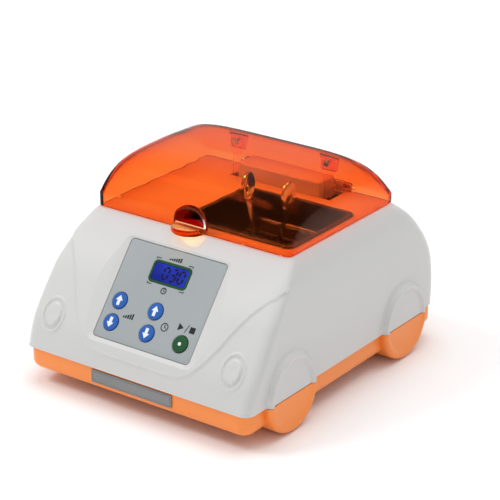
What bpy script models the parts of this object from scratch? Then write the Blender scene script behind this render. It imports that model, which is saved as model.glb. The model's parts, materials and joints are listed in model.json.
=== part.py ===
"""Bench-top dental capsule mixer with a car-like body, modelled in metres with +Z up.

The origin is the centre of the footprint on the bench. The front, with its keypad, faces -Y.
Lengths below are in millimetres, and every mesh is scaled to metres as it is made.
"""

import math

import bmesh
import bpy
from mathutils import Matrix

MM = 0.001
GAP = 0.3

# Upper shell: height, half width, front edge and rear edge of each station of its hull.
STATIONS = (
    (27.6, 97.8, -118.35, 118.35),
    (45.0, 98.2, -111.8, 118.2),
    (62.0, 97.5, -101.4, 117.3),
    (72.0, 96.8, -94.6, 115.0),
    (81.0, 95.9, -88.2, 111.0),
    (90.0, 94.2, -80.0, 105.4),
    (100.0, 91.9, -69.2, 97.8),
    (107.0, 89.2, -62.0, 90.2),
    (112.0, 86.5, -56.6, 83.6),
    (115.4, 83.6, -52.6, 79.3),
)
SEAM = STATIONS[0][0]
DECK = STATIONS[-1][0]
SHELL_WALL = 2.5
DECK_WALL = 2.8
FRONT_CORNER = 8.0
REAR_CORNER = 12.0

# Base shell and the wheel-shaped feet moulded on it.
BASE_TOP = SEAM - GAP
BASE_BOTTOM = 10.6
BASE_FLOOR = 13.6
BASE_HALF_WIDTH = 96.0
BASE_FRONT = -116.8
BASE_REAR = 116.9
BASE_WALL = 3.0
WHEEL_FACE = 102.0
WHEEL_DEPTH = 24.0
WHEEL_RADIUS = 28.0
WHEEL_Z = 28.5
WHEEL_YS = (-70.5, 71.0)
ARCH_HEIGHT = 31.0
WHEEL_WALL = 3.0
POST_X = 74.0
POST_YS = (-103.0, 103.0)
POST_RADIUS = 6.0
POST_TOP = 23.7
SCREW_RADIUS = 1.7
FOOT_X = 52.0
FOOT_Y = 86.0
DAMPER_XS = (-72.0, 62.0)
DAMPER_YS = (-27.5, 30.0)
DAMPER_SEAT = 17.6
AIR_SLOTS = 6
AIR_SLOT_X = -22.0
AIR_SLOT_PITCH = 8.0
AIR_SLOT_WIDTH = 3.0
AIR_SLOT_Y = (-98.0, -58.0)
PLATE_X = (-36.5, 33.5)
PLATE_Z = (16.4, 25.9)
PLATE_THICK = 0.8

# Rear block of the deck, with the hinge ears and the pockets for the lid's tongues.
BLOCK_X = 36.0
BLOCK_Y = (52.5, 72.5)
BLOCK_TOP = 126.4
POCKET_X = (36.3, 43.5)
POCKET_Y = (53.0, 72.0)
EAR_HALF = 3.0
EAR_RADIUS = 3.3

# Headlight: its place on the panel's plane, its half sizes and the width of its raised rim.
LAMP_X = 78.0
LAMP_Y = 4.6
LAMP_HALF = (9.2, 12.4)
LAMP_RIM = 1.6

# Lid dome.
LID_BOTTOM = DECK + GAP
LID_HALF_WIDTH = 83.1
LID_FRONT = -51.3
LID_REAR = 77.9
LID_WALL = 2.2
LID_RIM = 3.5
LID_CREST = ((0.0, 12.1), (0.02, 17.5), (0.05, 24.9), (0.1, 32.4), (0.16, 37.0), (0.24, 39.5), (0.35, 40.7),
             (0.5, 41.1), (0.65, 40.3), (0.75, 39.7), (0.83, 35.8), (0.9, 28.4), (0.96, 17.5), (1.0, 7.1))
LID_SHOULDER = (5.05, 4.37)
LID_CORNER = 40
HINGE_Y = 77.3
HINGE_Z = 119.0
HINGE_X = 38.0
HINGE_BORE = 1.5
HINGE_PIN = 1.2
TONGUE_X = 39.9
TONGUE_Y = 57.0
TONGUE_THICK = 2.4
LUG_Y = (58.5, 60.7)
LUG_TOP = 146.6
LUG_SCREW_Z = 141.0
TAB_RADIUS = 13.5
TAB_Z = (LID_BOTTOM + 0.2, LID_BOTTOM + 4.6)

# Mixing chamber, motor line and fork.
TRAY_X = (-19.0, 75.0)
TRAY_Y = (-38.7, 41.0)
TRAY_FLOOR = 95.4
TRAY_UNDER = 93.0
FORK_X = 28.0
AXIS_Y = 1.2
AXIS_Z = 60.0
SHAFT_RADIUS = 4.0
RUNNING_BORE = 4.35
MOTOR_RADIUS = 26.0
MOTOR_X = (-70.0, -8.0)
MOTOR_BORE = 5.2
FAN_X = (-84.0, -75.0)
FAN_BLADES = 6
BRACKET_X = (50.4, 56.4)
BEARING_RADIUS = 9.3
HUB_RADIUS = 7.6
HUB_SKEW = 6.0
RING_RADIUS = 14.0
RING_BORE = 10.2
RING_HALF = 5.0
PRONG_SCREW_Z = 27.0
HEAD_Z = 74.7
HEAD_X = 17.2

# Control panel: its frame has X to the right, Y up the slope and Z outwards.
PANEL_FOOT = (0.0, -109.9, 48.1)
PANEL_PITCH = 51.1
PANEL_LENGTH = 73.1
PANEL_WIDTH = 83.0
PANEL_TOP = -0.8
PANEL_THICK = 1.6
BED_TOP = PANEL_TOP - PANEL_THICK - GAP
BED_UNDER = BED_TOP - 2.5
BOARD_TOP = -14.0
BUTTON_RADIUS = 5.9
BUTTON_HOLE = 6.3
BUTTON_TOP = 0.25
BUTTONS = {
    "speed_up_button": (-31.0, 28.2, "button_blue"),
    "speed_down_button": (-31.0, 12.0, "button_blue"),
    "timer_up_button": (0.4, 28.2, "button_blue"),
    "timer_down_button": (0.4, 12.0, "button_blue"),
    "start_stop_button": (29.3, 12.0, "button_green"),
}
DISPLAY = (0.0, 55.4)
DISPLAY_SIZE = (32.6, 16.0)

# Rear plate with the mains parts.
REAR_PLATE_Y = 112.6
REAR_Z = 51.0
INLET_X = -20.0
SWITCH_X = -50.0
FUSE_X = 8.0
REAR_SCREW_XS = (-64.0, 24.0)
REAR_WINDOW_X = (-61.5, 21.5)
REAR_WINDOW_Z = (36.0, 66.0)
ROCKER_THROW = 8.0

FINISHES = {
    # name: colour, roughness, metallic, transmission
    "shell_white": ((0.80, 0.80, 0.79), 0.32, 0.0, 0.0),
    "base_orange": ((0.95, 0.26, 0.05), 0.38, 0.0, 0.0),
    "lid_orange": ((0.90, 0.16, 0.02), 0.08, 0.0, 0.85),
    "tray_black": ((0.012, 0.012, 0.012), 0.18, 0.0, 0.0),
    "panel_grey": ((0.42, 0.45, 0.46), 0.45, 0.0, 0.0),
    "button_blue": ((0.01, 0.12, 0.65), 0.35, 0.0, 0.0),
    "button_green": ((0.01, 0.17, 0.03), 0.35, 0.0, 0.0),
    "display_blue": ((0.02, 0.03, 0.50), 0.12, 0.0, 0.0),
    "board_green": ((0.02, 0.14, 0.05), 0.55, 0.0, 0.0),
    "rubber": ((0.02, 0.02, 0.02), 0.85, 0.0, 0.0),
    "steel": ((0.60, 0.60, 0.62), 0.25, 1.0, 0.0),
    "cast_metal": ((0.38, 0.39, 0.41), 0.5, 1.0, 0.0),
    "nylon_white": ((0.78, 0.77, 0.72), 0.45, 0.0, 0.0),
    "black_plastic": ((0.02, 0.02, 0.022), 0.42, 0.0, 0.0),
}


def clear_scene():
    for obj in list(bpy.data.objects):
        bpy.data.objects.remove(obj, do_unlink=True)


def finish(name):
    """The material of this name, made when it is first asked for."""
    if name in bpy.data.materials:
        return bpy.data.materials[name]
    colour, roughness, metallic, transmission = FINISHES[name]
    made = bpy.data.materials.new(name)
    made.use_nodes = True
    shader = made.node_tree.nodes["Principled BSDF"]
    shader.inputs["Base Color"].default_value = (*colour, 1.0)
    shader.inputs["Roughness"].default_value = roughness
    shader.inputs["Metallic"].default_value = metallic
    shader.inputs["Transmission Weight"].default_value = transmission
    made.diffuse_color = (*colour, 1.0)
    return made


# Outlines and solids


def between(table, at):
    """Straight interpolation in rows whose first column is the key."""
    for low, high in zip(table, table[1:]):
        if at <= high[0]:
            break
    part = (at - low[0]) / (high[0] - low[0])
    return [a + (b - a) * part for a, b in zip(low[1:], high[1:])]


def arc(centre, radius, start, stop, steps):
    """Points on an arc, with angles in degrees."""
    points = []
    for step in range(steps + 1):
        angle = math.radians(start + (stop - start) * step / steps)
        points.append((centre[0] + radius * math.cos(angle), centre[1] + radius * math.sin(angle)))
    return points


def rounded(x0, x1, y0, y1, front, rear=None, steps=4):
    """A rectangle whose two low-Y corners have the radius front and whose other two have rear."""
    rear = front if rear is None else rear
    outline = arc((x0 + front, y0 + front), front, 180, 270, steps)
    outline += arc((x1 - front, y0 + front), front, 270, 360, steps)
    outline += arc((x1 - rear, y1 - rear), rear, 0, 90, steps)
    outline += arc((x0 + rear, y1 - rear), rear, 90, 180, steps)
    return outline


def along(axis, a, b, c):
    """The point at c along the axis, with a and b on the two other axes in order."""
    return {"X": (c, a, b), "Y": (a, c, b), "Z": (a, b, c)}[axis]


def loft(rings):
    """A closed solid through rings of points, with flat ends."""
    mesh = bmesh.new()
    loops = [[mesh.verts.new(point) for point in ring] for ring in rings]
    count = len(loops[0])
    for low, high in zip(loops, loops[1:]):
        for i in range(count):
            j = (i + 1) % count
            mesh.faces.new((low[i], low[j], high[j], high[i]))
    mesh.faces.new(loops[0][::-1])
    mesh.faces.new(loops[-1])
    return mesh


def prism(outline, axis, low, high):
    """The outline extruded along an axis."""
    return loft([[along(axis, a, b, at) for a, b in outline] for at in (low, high)])


def box(x0, x1, y0, y1, z0, z1):
    return prism([(x0, y0), (x1, y0), (x1, y1), (x0, y1)], "Z", z0, z1)


def turned(profile, axis, centre=(0.0, 0.0), steps=24):
    """A round solid from (place along the axis, radius) pairs."""
    rings = []
    for at, radius in profile:
        circle = arc(centre, radius, 0, 360 - 360 / steps, steps - 1)
        rings.append([along(axis, a, b, at) for a, b in circle])
    return loft(rings)


def rod(axis, centre, radius, low, high, steps=20):
    return turned([(low, radius), (high, radius)], axis, centre, steps)


def hull(inset, low, high):
    """The upper shell's lofted hull, drawn in by the wall thickness given."""
    heights = [low] + [row[0] for row in STATIONS if low < row[0] < high] + [high]
    rings = []
    for z in heights:
        half, front, rear = between(STATIONS, min(max(z, SEAM), DECK))
        above = between(STATIONS, min(max(z, SEAM) + 6, DECK))
        below = between(STATIONS, max(min(z, DECK) - 6, SEAM))
        slope = [(b - a) / 12 for a, b in zip(below, above)]
        side, bow, stern = [inset * math.hypot(1, s) for s in slope]
        outline = rounded(-half + side, half - side, front + bow, rear - stern,
                          max(FRONT_CORNER - inset, 2), max(REAR_CORNER - inset, 2))
        rings.append([(x, y, z) for x, y in outline])
    return loft(rings)


# Objects


def place(name, solid, colour, parent=None, location=(0, 0, 0), pitch=0.0):
    """One object from a solid in millimetres."""
    bmesh.ops.recalc_face_normals(solid, faces=solid.faces)
    bmesh.ops.scale(solid, vec=(MM, MM, MM), verts=solid.verts)
    mesh = bpy.data.meshes.new(name)
    solid.to_mesh(mesh)
    solid.free()
    mesh.materials.append(finish(colour))
    mesh.shade_smooth()
    mesh.set_sharp_from_angle(angle=math.radians(32))
    obj = bpy.data.objects.new(name, mesh)
    bpy.context.scene.collection.objects.link(obj)
    obj.parent = parent
    obj.location = [value * MM for value in location]
    obj.rotation_euler = (math.radians(pitch), 0, 0)
    return obj


def tool(obj, solid, operation):
    """Adds a solid to the object, or cuts it away, with a hidden helper in the object's own frame."""
    number = len(obj.modifiers) + 1
    helper = place(f"{obj.name}_{operation.lower()}_{number}", solid, obj.data.materials[0].name,
                   obj.parent)
    helper.matrix_basis = obj.matrix_basis.copy()
    helper.hide_render = True
    helper.display_type = "WIRE"
    modifier = obj.modifiers.new(helper.name, "BOOLEAN")
    modifier.operation = operation
    modifier.solver = "EXACT"
    modifier.object = helper
    return helper


def add(obj, *solids):
    for solid in solids:
        tool(obj, solid, "UNION")


def cut(obj, *solids):
    for solid in solids:
        tool(obj, solid, "DIFFERENCE")


def frame_at(name, location, pitch=0.0):
    """An empty that carries the pieces of one axis or plane."""
    empty = bpy.data.objects.new(name, None)
    bpy.context.scene.collection.objects.link(empty)
    empty.location = [value * MM for value in location]
    empty.rotation_euler = (math.radians(pitch), 0, 0)
    empty.empty_display_size = 0.01
    return empty


# Casing


def panel_solid(solid):
    """Turns a solid from the panel's frame into the casing's frame."""
    turn = Matrix.Translation(PANEL_FOOT) @ Matrix.Rotation(math.radians(PANEL_PITCH), 4, "X")
    bmesh.ops.transform(solid, matrix=turn, verts=solid.verts)
    return solid


def panel_box(half_x, y0, y1, z0, z1):
    return panel_solid(box(-half_x, half_x, y0, y1, z0, z1))


def oval(centre, half_x, half_y, axis, low, high, steps=20):
    """An oval prism."""
    outline = [(centre[0] + (a - centre[0]) * half_x, centre[1] + (b - centre[1]) * half_y)
               for a, b in arc(centre, 1.0, 0, 360 - 360 / steps, steps - 1)]
    return prism(outline, axis, low, high)


def arch_boss(side, wheel_y, shrink, low, high):
    """The wheel arch above the seam, as half an oval with a softened rim."""
    rim = 2.4
    rings = []
    for depth, draw in ((low, 0.0), (high - rim, 0.0), (high, rim)):
        half_y = WHEEL_RADIUS - shrink - draw
        half_z = ARCH_HEIGHT - shrink - draw
        outline = []
        for step in range(17):
            angle = math.radians(180 * step / 16)
            outline.append((wheel_y + half_y * math.cos(angle), SEAM + half_z * math.sin(angle)))
        rings.append([(side * depth, y, z) for y, z in outline])
    return loft(rings)


def make_upper_shell():
    shell = place("upper_shell", hull(0.0, SEAM, DECK), "shell_white")
    for side in (-1, 1):
        for wheel_y in WHEEL_YS:
            add(shell, arch_boss(side, wheel_y, 0.0, 94.0, WHEEL_FACE))
    add(shell, box(-BLOCK_X, BLOCK_X, *BLOCK_Y, DECK - 1, BLOCK_TOP))
    for side in (-1, 1):
        ear = [(HINGE_Y - 2.9, 112.9), (HINGE_Y + 2.9, 111.6)]
        ear += arc((HINGE_Y, HINGE_Z), EAR_RADIUS, 0, 180, 10)
        add(shell, prism(ear, "X", side * HINGE_X - EAR_HALF, side * HINGE_X + EAR_HALF))
    cavity = tool(shell, hull(SHELL_WALL, SEAM - 3, DECK - DECK_WALL), "DIFFERENCE")
    for side in (-1, 1):
        for post_y in POST_YS:
            cut(cavity, rod("Z", (side * POST_X, post_y), 5, 24.0, 112))
        for wheel_y in WHEEL_YS:
            add(cavity, arch_boss(side, wheel_y, 2.6, 90.0, WHEEL_FACE - 2.6))
    cut(cavity, panel_box(PANEL_WIDTH / 2 + 3, -3, PANEL_LENGTH + 3, BED_UNDER, 12))
    for side in (-1, 1):
        for post_y in (5.6, 67.0):
            post = rod("Z", (side * 39.4, post_y), 2.4, BOARD_TOP + GAP, BED_UNDER + 1, 12)
            cut(cavity, panel_solid(post))
    cut(cavity, box(33.3, 36.0, 46, 68, 96, 114))
    bed = rounded(-PANEL_WIDTH / 2 - 0.4, PANEL_WIDTH / 2 + 0.4, -0.4, PANEL_LENGTH + 0.4, 3)
    cut(shell, panel_solid(prism(bed, "Z", BED_TOP, 25)))
    cut(shell, panel_box(17.2, DISPLAY[1] - 9.2, DISPLAY[1] + 9.2, -12, 3))
    for x, y, _ in BUTTONS.values():
        cut(shell, panel_solid(rod("Z", (x, y), BUTTON_HOLE, -12, 3, 16)))
    opening = rounded(TRAY_X[0] + 1.5, TRAY_X[1] - 1.5, TRAY_Y[0] + 1.5, TRAY_Y[1] - 1.5, 5)
    cut(shell, prism(opening, "Z", 108, 120))
    for side in (-1, 1):
        pocket = sorted(side * x for x in POCKET_X)
        cut(shell, box(*pocket, *POCKET_Y, 108, 120))
        cut(shell, rod("X", (HINGE_Y, HINGE_Z), HINGE_BORE, side * HINGE_X - 5, side * HINGE_X + 5, 16))
        for post_y in POST_YS:
            cut(shell, rod("Z", (side * POST_X, post_y), 2.0, 20, 37.5, 12))
    cut(shell, box(*REAR_WINDOW_X, 105, 125, *REAR_WINDOW_Z))
    for x in REAR_SCREW_XS:
        cut(shell, rod("Y", (x, REAR_Z), SCREW_RADIUS, 108, 125, 12),
            rod("Y", (x, REAR_Z), 3.1, 116.2, 125, 16))
    for side in (-1, 1):
        at = (side * LAMP_X, LAMP_Y)
        inner = [half - LAMP_RIM for half in LAMP_HALF]
        add(shell, panel_solid(oval(at, *LAMP_HALF, "Z", -3.4, 1.6)))
        cut(shell, panel_solid(oval(at, *inner, "Z", -0.2, 6)))


def make_base_shell():
    rings = []
    for z, inset in ((BASE_BOTTOM, 6.0), (11.4, 2.9), (13.4, 0.9), (17.4, 0.0), (BASE_TOP, 0.0)):
        outline = rounded(-BASE_HALF_WIDTH + inset, BASE_HALF_WIDTH - inset, BASE_FRONT + inset,
                          BASE_REAR - inset, 9 - inset)
        rings.append([(x, y, z) for x, y in outline])
    base = place("base_shell", loft(rings), "base_orange")
    inner = (-BASE_HALF_WIDTH + BASE_WALL, BASE_HALF_WIDTH - BASE_WALL,
             BASE_FRONT + BASE_WALL, BASE_REAR - BASE_WALL)
    for side in (-1, 1):
        inboard = side * (WHEEL_FACE - WHEEL_DEPTH)
        for wheel_y in WHEEL_YS:
            profile = [(inboard, WHEEL_RADIUS), (side * (WHEEL_FACE - 1.2), WHEEL_RADIUS),
                       (side * WHEEL_FACE, WHEEL_RADIUS - 1.2)]
            add(base, turned(profile, "X", (wheel_y, WHEEL_Z), 36))
    cut(base, prism(rounded(*inner, 6), "Z", BASE_FLOOR, 40))
    for side in (-1, 1):
        inboard = side * (WHEEL_FACE - WHEEL_DEPTH)
        for wheel_y in WHEEL_YS:
            hollow = sorted((inboard + side * WHEEL_WALL, side * (WHEEL_FACE - WHEEL_WALL)))
            cut(base, rod("X", (wheel_y, WHEEL_Z), WHEEL_RADIUS - WHEEL_WALL, *hollow, 24))
    cut(base, box(-110, 110, -125, 125, BASE_TOP, 70))
    for side in (-1, 1):
        for post_y in POST_YS:
            at = (side * POST_X, post_y)
            add(base, rod("Z", at, POST_RADIUS, BASE_FLOOR - 2, POST_TOP))
            cut(base, rod("Z", at, 4, 5, 19.7, 20), rod("Z", at, 2.1, 10, 30, 12))
    for x, y in damper_places():
        add(base, rod("Z", (x, y), POST_RADIUS, BASE_FLOOR - 2, DAMPER_SEAT))
    for slot in range(AIR_SLOTS):
        x = AIR_SLOT_X + AIR_SLOT_PITCH * slot
        cut(base, prism(rounded(x, x + AIR_SLOT_WIDTH, *AIR_SLOT_Y, 1.4, steps=2), "Z", 5, 20))


def damper_places():
    return [(x, y) for x in DAMPER_XS for y in DAMPER_YS]


def make_feet_and_case_screws():
    profile = [(0, 6.6), (1.0, 7.6), (BASE_BOTTOM - GAP, 8.4)]
    for number, (x, y) in enumerate([(x, y) for x in (-FOOT_X, FOOT_X) for y in (-FOOT_Y, FOOT_Y)], 1):
        place(f"rubber_foot_{number}", turned(profile, "Z", steps=20), "rubber", None, (x, y, 0))
    for number, (x, y) in enumerate([(x, y) for x in (-POST_X, POST_X) for y in POST_YS], 1):
        shank = rod("Z", (0, 0), SCREW_RADIUS, 19, 36, 12)
        screw = place(f"case_screw_{number}", shank, "steel", None, (x, y, 0))
        add(screw, turned([(16.6, 2.6), (17.4, 3.5), (19.4, 3.5)], "Z", steps=16))
        cut(screw, box(-2.0, 2.0, -0.35, 0.35, 14, 17.4), box(-0.35, 0.35, -2.0, 2.0, 14, 17.4))


def make_name_plate():
    plate = prism(rounded(*PLATE_X, *PLATE_Z, 0.8, steps=3), "Y", -PLATE_THICK, 0.0)
    place("name_plate", plate, "panel_grey", None, (0, BASE_FRONT - GAP, 0))


# Control panel


def make_panel():
    plane = frame_at("panel_plane", PANEL_FOOT, PANEL_PITCH)
    half = PANEL_WIDTH / 2
    plate = place("control_panel", prism(rounded(-half, half, 0, PANEL_LENGTH, 2.6), "Z",
                                         PANEL_TOP - PANEL_THICK, PANEL_TOP), "panel_grey", plane)
    wide, tall = DISPLAY_SIZE[0] / 2, DISPLAY_SIZE[1] / 2

    def window(grow, low, high):
        """A rounded block of the display's outline, larger by grow on each side."""
        outline = rounded(-wide - grow, wide + grow, DISPLAY[1] - tall - grow, DISPLAY[1] + tall + grow,
                          3.2 + grow)
        return prism(outline, "Z", low, high)

    cut(plate, window(GAP, -5, 3))
    for x, y, _ in BUTTONS.values():
        cut(plate, rod("Z", (x, y), BUTTON_HOLE, -5, 3, 20))
    bezel = place("display_bezel", window(0, PANEL_TOP - PANEL_THICK, PANEL_TOP + 0.25), "button_green",
                  plane)
    cut(bezel, window(-1.4, -5, 3))
    place("display_window", window(-1.4 - GAP, PANEL_TOP - 1.2, PANEL_TOP + 0.1), "display_blue", plane)
    place("display_module", box(-16.6, 16.6, DISPLAY[1] - 8.6, DISPLAY[1] + 8.6, -9.0, -2.9),
          "black_plastic", plane)
    for name, (x, y, colour) in BUTTONS.items():
        profile = [(-8.4, 2.0), (-6.7, 2.0), (-6.7, 7.2), (-5.5, 7.2), (-5.5, BUTTON_RADIUS),
                   (BUTTON_TOP, BUTTON_RADIUS)]
        place(name, turned(profile, "Z", steps=20), colour, plane, (x, y, 0))
    laminate = box(-half + 1.2, half - 1.2, 2.5, PANEL_LENGTH - 2.5, BOARD_TOP - 1.6, BOARD_TOP)
    board = place("control_board", laminate, "board_green", plane)
    for x, y, _ in BUTTONS.values():
        add(board, box(x - 3, x + 3, y - 3, y + 3, BOARD_TOP - 0.5, -9.8))
    add(board, box(-14, 14, DISPLAY[1] - 6, DISPLAY[1] - 3, BOARD_TOP - 0.5, -9.3),
        box(-8, 12, 34, 44, BOARD_TOP - 4.6, BOARD_TOP - 1))


# Lid and hinge


def lid_height(x, y, half, front, rear, drop):
    """Height of the dome above its foot at a place in plan."""
    across = min(abs(x) / half, 1.0)
    back = min(max((y - front) / (rear - front), 0.0), 1.0)
    crest = between(LID_CREST, back)[0] - drop
    rim = LID_RIM - drop * 0.2
    return rim + (crest - rim) * (1 - across ** LID_SHOULDER[0]) ** (1 / LID_SHOULDER[1])


def lid_grid(shrink):
    """Grid of points over the dome, drawn in by shrink."""
    half = LID_HALF_WIDTH - shrink
    front = LID_FRONT + shrink
    rear = LID_REAR - shrink
    middle, reach = (front + rear) / 2, (rear - front) / 2
    columns, rows = 16, 12
    grid = []
    for j in range(rows + 1):
        v = -math.cos(math.pi * j / rows)
        line = []
        for i in range(columns + 1):
            u = -math.cos(math.pi * i / columns)
            biggest, smallest = max(abs(u), abs(v)), min(abs(u), abs(v))
            pull = 1.0
            if biggest:
                pull = (1 + (smallest / biggest) ** LID_CORNER) ** (-1 / LID_CORNER)
            x, y = u * pull * half, middle + v * pull * reach
            line.append((x, y, LID_BOTTOM + lid_height(x, y, half, front, rear, shrink)))
        grid.append(line)
    return grid


def edge_of(grid):
    """The grid's border, once round."""
    border = list(grid[0][:-1])
    border += [line[-1] for line in grid[:-1]]
    border += grid[-1][:0:-1]
    border += [line[0] for line in grid[:0:-1]]
    return border


def lid_dome():
    mesh = bmesh.new()
    borders = []
    for shrink in (0.0, LID_WALL):
        grid = [[mesh.verts.new(point) for point in line] for line in lid_grid(shrink)]
        for low, high in zip(grid, grid[1:]):
            for i in range(len(low) - 1):
                mesh.faces.new((low[i], low[i + 1], high[i + 1], high[i]))
        top = edge_of(grid)
        foot = [mesh.verts.new((vert.co.x, vert.co.y, LID_BOTTOM)) for vert in top]
        borders.append((top, foot))
        for i, vert in enumerate(top):
            after = (i + 1) % len(top)
            mesh.faces.new((vert, top[after], foot[after], foot[i]))
    outer, inner = borders[0][1], borders[1][1]
    for i, vert in enumerate(outer):
        after = (i + 1) % len(outer)
        mesh.faces.new((vert, outer[after], inner[after], inner[i]))
    return mesh


def moved(solid, location):
    bmesh.ops.translate(solid, vec=[-value for value in location], verts=solid.verts)
    return solid


def make_lid():
    hinge = (0.0, HINGE_Y, HINGE_Z)
    axis = frame_at("lid_hinge_axis", hinge)
    lid = place("lid_shell", moved(lid_dome(), hinge), "lid_orange", axis)
    tab = [(TAB_RADIUS, LID_FRONT + 1.2)]
    tab += arc((0, LID_FRONT), TAB_RADIUS, 0, -180, 16)
    tab += [(-TAB_RADIUS, LID_FRONT + 1.2)]
    add(lid, moved(prism(tab, "Z", *TAB_Z), hinge))
    for side in (-1, 1):
        x = side * TONGUE_X
        lug = [(x - 5.5, 135.0), (x + 5.5, 135.0), (x + 8.2, LUG_TOP), (x - 8.2, LUG_TOP)]
        add(lid, moved(prism(lug, "Y", *LUG_Y), hinge))
        cut(lid, moved(rod("Y", (x, LUG_SCREW_Z), 1.4, 56, 64, 12), hinge))
        for low, high in ((30.0, 34.2), (41.8, 46.0)):
            ends = sorted((side * low, side * high))
            add(lid, rod("X", (0, 0), EAR_RADIUS, *ends, 20))
        cut(lid, rod("X", (0, 0), 3.9, side * HINGE_X - 3.4, side * HINGE_X + 3.4, 24))
        cut(lid, box(side * HINGE_X - 3.4, side * HINGE_X + 3.4, -6, 6, -6, 0))
        cut(lid, rod("X", (0, 0), HINGE_BORE, side * HINGE_X - 12, side * HINGE_X + 12, 16))
        name = "right" if side > 0 else "left"
        place(f"hinge_pin_{name}", rod("X", (0, 0), HINGE_PIN, -8.6, 8.6, 16), "steel", None,
              (side * HINGE_X, HINGE_Y, HINGE_Z))
        blade = [(-2.6, 110.0), (2.6, 110.0), (2.6, 130.0), (5.2, 136.0), (5.2, 144.4), (-5.2, 144.4),
                 (-5.2, 136.0), (-2.6, 130.0)]
        strip = prism(blade, "Y", TONGUE_Y - TONGUE_THICK / 2, TONGUE_Y + TONGUE_THICK / 2)
        tongue = place(f"lid_tongue_{name}", moved(strip, hinge), "lid_orange", axis, (x, 0, 0))
        cut(tongue, moved(rod("Y", (0, LUG_SCREW_Z), 1.5, 50, 64, 12), hinge))
        shank = rod("Y", (0, LUG_SCREW_Z), 1.1, 54.6, 60.5, 12)
        screw = place(f"tongue_screw_{name}", moved(shank, hinge), "steel", axis, (x, 0, 0))
        head = turned([(53.9, 1.6), (54.3, 2.5), (55.5, 2.5)], "Y", (0, LUG_SCREW_Z), 16)
        add(screw, moved(head, hinge))


def make_interlock_switch():
    at = (39.7, TONGUE_Y, 107.6)
    body = place("interlock_switch", box(-3.2, 3.2, -10, 10, -11, 0), "black_plastic", None, at)
    add(body, rod("Z", (0, 0), 1.6, -1, 1.8, 12))
    for leg_y in (-7.0, 5.6):
        add(body, box(-1.4, 1.4, leg_y, leg_y + 1.4, -15, -10))


# Mixing chamber


def make_tray():
    x0, x1 = TRAY_X
    y0, y1 = TRAY_Y
    flange = prism(rounded(x0, x1, y0, y1, 6), "Z", DECK + GAP, DECK + 1.5)
    tray = place("chamber_tray", flange, "tray_black")

    def bowl(inset, floor, top):
        """The bowl's block, whose right wall slopes in towards the floor."""
        rings = []
        for z, lean in ((floor, 15.0), (floor + 3, 12.8), (top, 0.0)):
            outline = rounded(x0 + inset, x1 - inset - lean, y0 + inset, y1 - inset, 6.5 - inset)
            rings.append([(x, y, z) for x, y in outline])
        return loft(rings)

    add(tray, bowl(1.9, TRAY_UNDER, DECK + 1))
    cut(tray, bowl(3.9, TRAY_FLOOR, DECK + 4))
    cut(tray, prism(rounded(FORK_X - 20.5, FORK_X + 20.5, AXIS_Y - 8, AXIS_Y + 8, 3), "Z", 85, 100))
    gasket = prism(rounded(-24.5, 24.5, -12, 12, 4), "Z", TRAY_FLOOR + GAP, TRAY_FLOOR + 2.2)
    seal = place("slot_seal", gasket, "rubber", None, (FORK_X, AXIS_Y, 0))
    add(seal, prism(rounded(-19.6, 19.6, -7.6, 7.6, 3), "Z", TRAY_FLOOR + 1, TRAY_FLOOR + 3.6))
    cut(seal, prism(rounded(-17.6, 17.6, -5.6, 5.6, 2), "Z", 85, 105))


# Motor line


def make_motor_line():
    axis = frame_at("motor_axis", (0, AXIS_Y, AXIS_Z))
    motor = place("motor_body", rod("X", (0, 0), MOTOR_RADIUS, *MOTOR_X, 32), "cast_metal", axis)
    cut(motor, rod("X", (0, 0), MOTOR_BORE, -80, 0, 20))
    for turn in range(12):
        angle = math.radians(30 * turn + 15)
        centre = (MOTOR_RADIUS * math.cos(angle), MOTOR_RADIUS * math.sin(angle))
        if centre[1] > 0:
            cut(motor, rod("X", centre, 1.5, -60, -18, 8))
    cap = place("motor_end_cap", turned([(-7.7, MOTOR_RADIUS), (-4, MOTOR_RADIUS), (0, 18)], "X", steps=32),
                "cast_metal", axis)
    cut(cap, rod("X", (0, 0), MOTOR_BORE, -20, 10, 20))
    place("motor_shaft", rod("X", (0, 0), SHAFT_RADIUS, -88, 64, 20), "steel", axis)
    fan = place("cooling_fan", rod("X", (0, 0), 7.5, *FAN_X, 20), "black_plastic", axis)
    middle = Matrix.Translation((sum(FAN_X) / 2, 0, 0))
    lean = middle @ Matrix.Rotation(math.radians(28), 4, "Z")
    for blade in range(FAN_BLADES):
        vane = box(-3.5, 3.5, -0.8, 0.8, 6, 21)
        twist = Matrix.Rotation(math.radians(360 * blade / FAN_BLADES), 4, "X")
        bmesh.ops.transform(vane, matrix=twist @ lean, verts=vane.verts)
        add(fan, vane)
    cut(fan, rod("X", (0, 0), RUNNING_BORE, -95, -70, 20))
    hub = rod("X", (0, 0), HUB_RADIUS, -6, 6, 32)
    bmesh.ops.transform(hub, matrix=Matrix.Rotation(math.radians(HUB_SKEW), 4, "Y"), verts=hub.verts)
    bmesh.ops.translate(hub, vec=(FORK_X, 0, 0), verts=hub.verts)
    skew_hub = place("skew_hub", hub, "steel", axis)
    cut(skew_hub, rod("X", (0, 0), RUNNING_BORE, 15, 40, 20))
    near, far = BRACKET_X
    bracket = place("bearing_bracket", box(near, far, -20, 20, -33, 14), "cast_metal", axis)
    add(bracket, rod("X", (0, 0), 15, near, far, 32), box(near, 68, -20, 20, -33, -29))
    cut(bracket, rod("X", (0, 0), BEARING_RADIUS + GAP, 45, 60, 32))
    race = [(near - 0.5, BEARING_RADIUS - 0.5), (near, BEARING_RADIUS), (far, BEARING_RADIUS),
            (far + 0.5, BEARING_RADIUS - 0.5)]
    bearing = place("shaft_bearing", turned(race, "X", steps=32), "steel", axis)
    cut(bearing, rod("X", (0, 0), RUNNING_BORE, 45, 60, 24))


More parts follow.
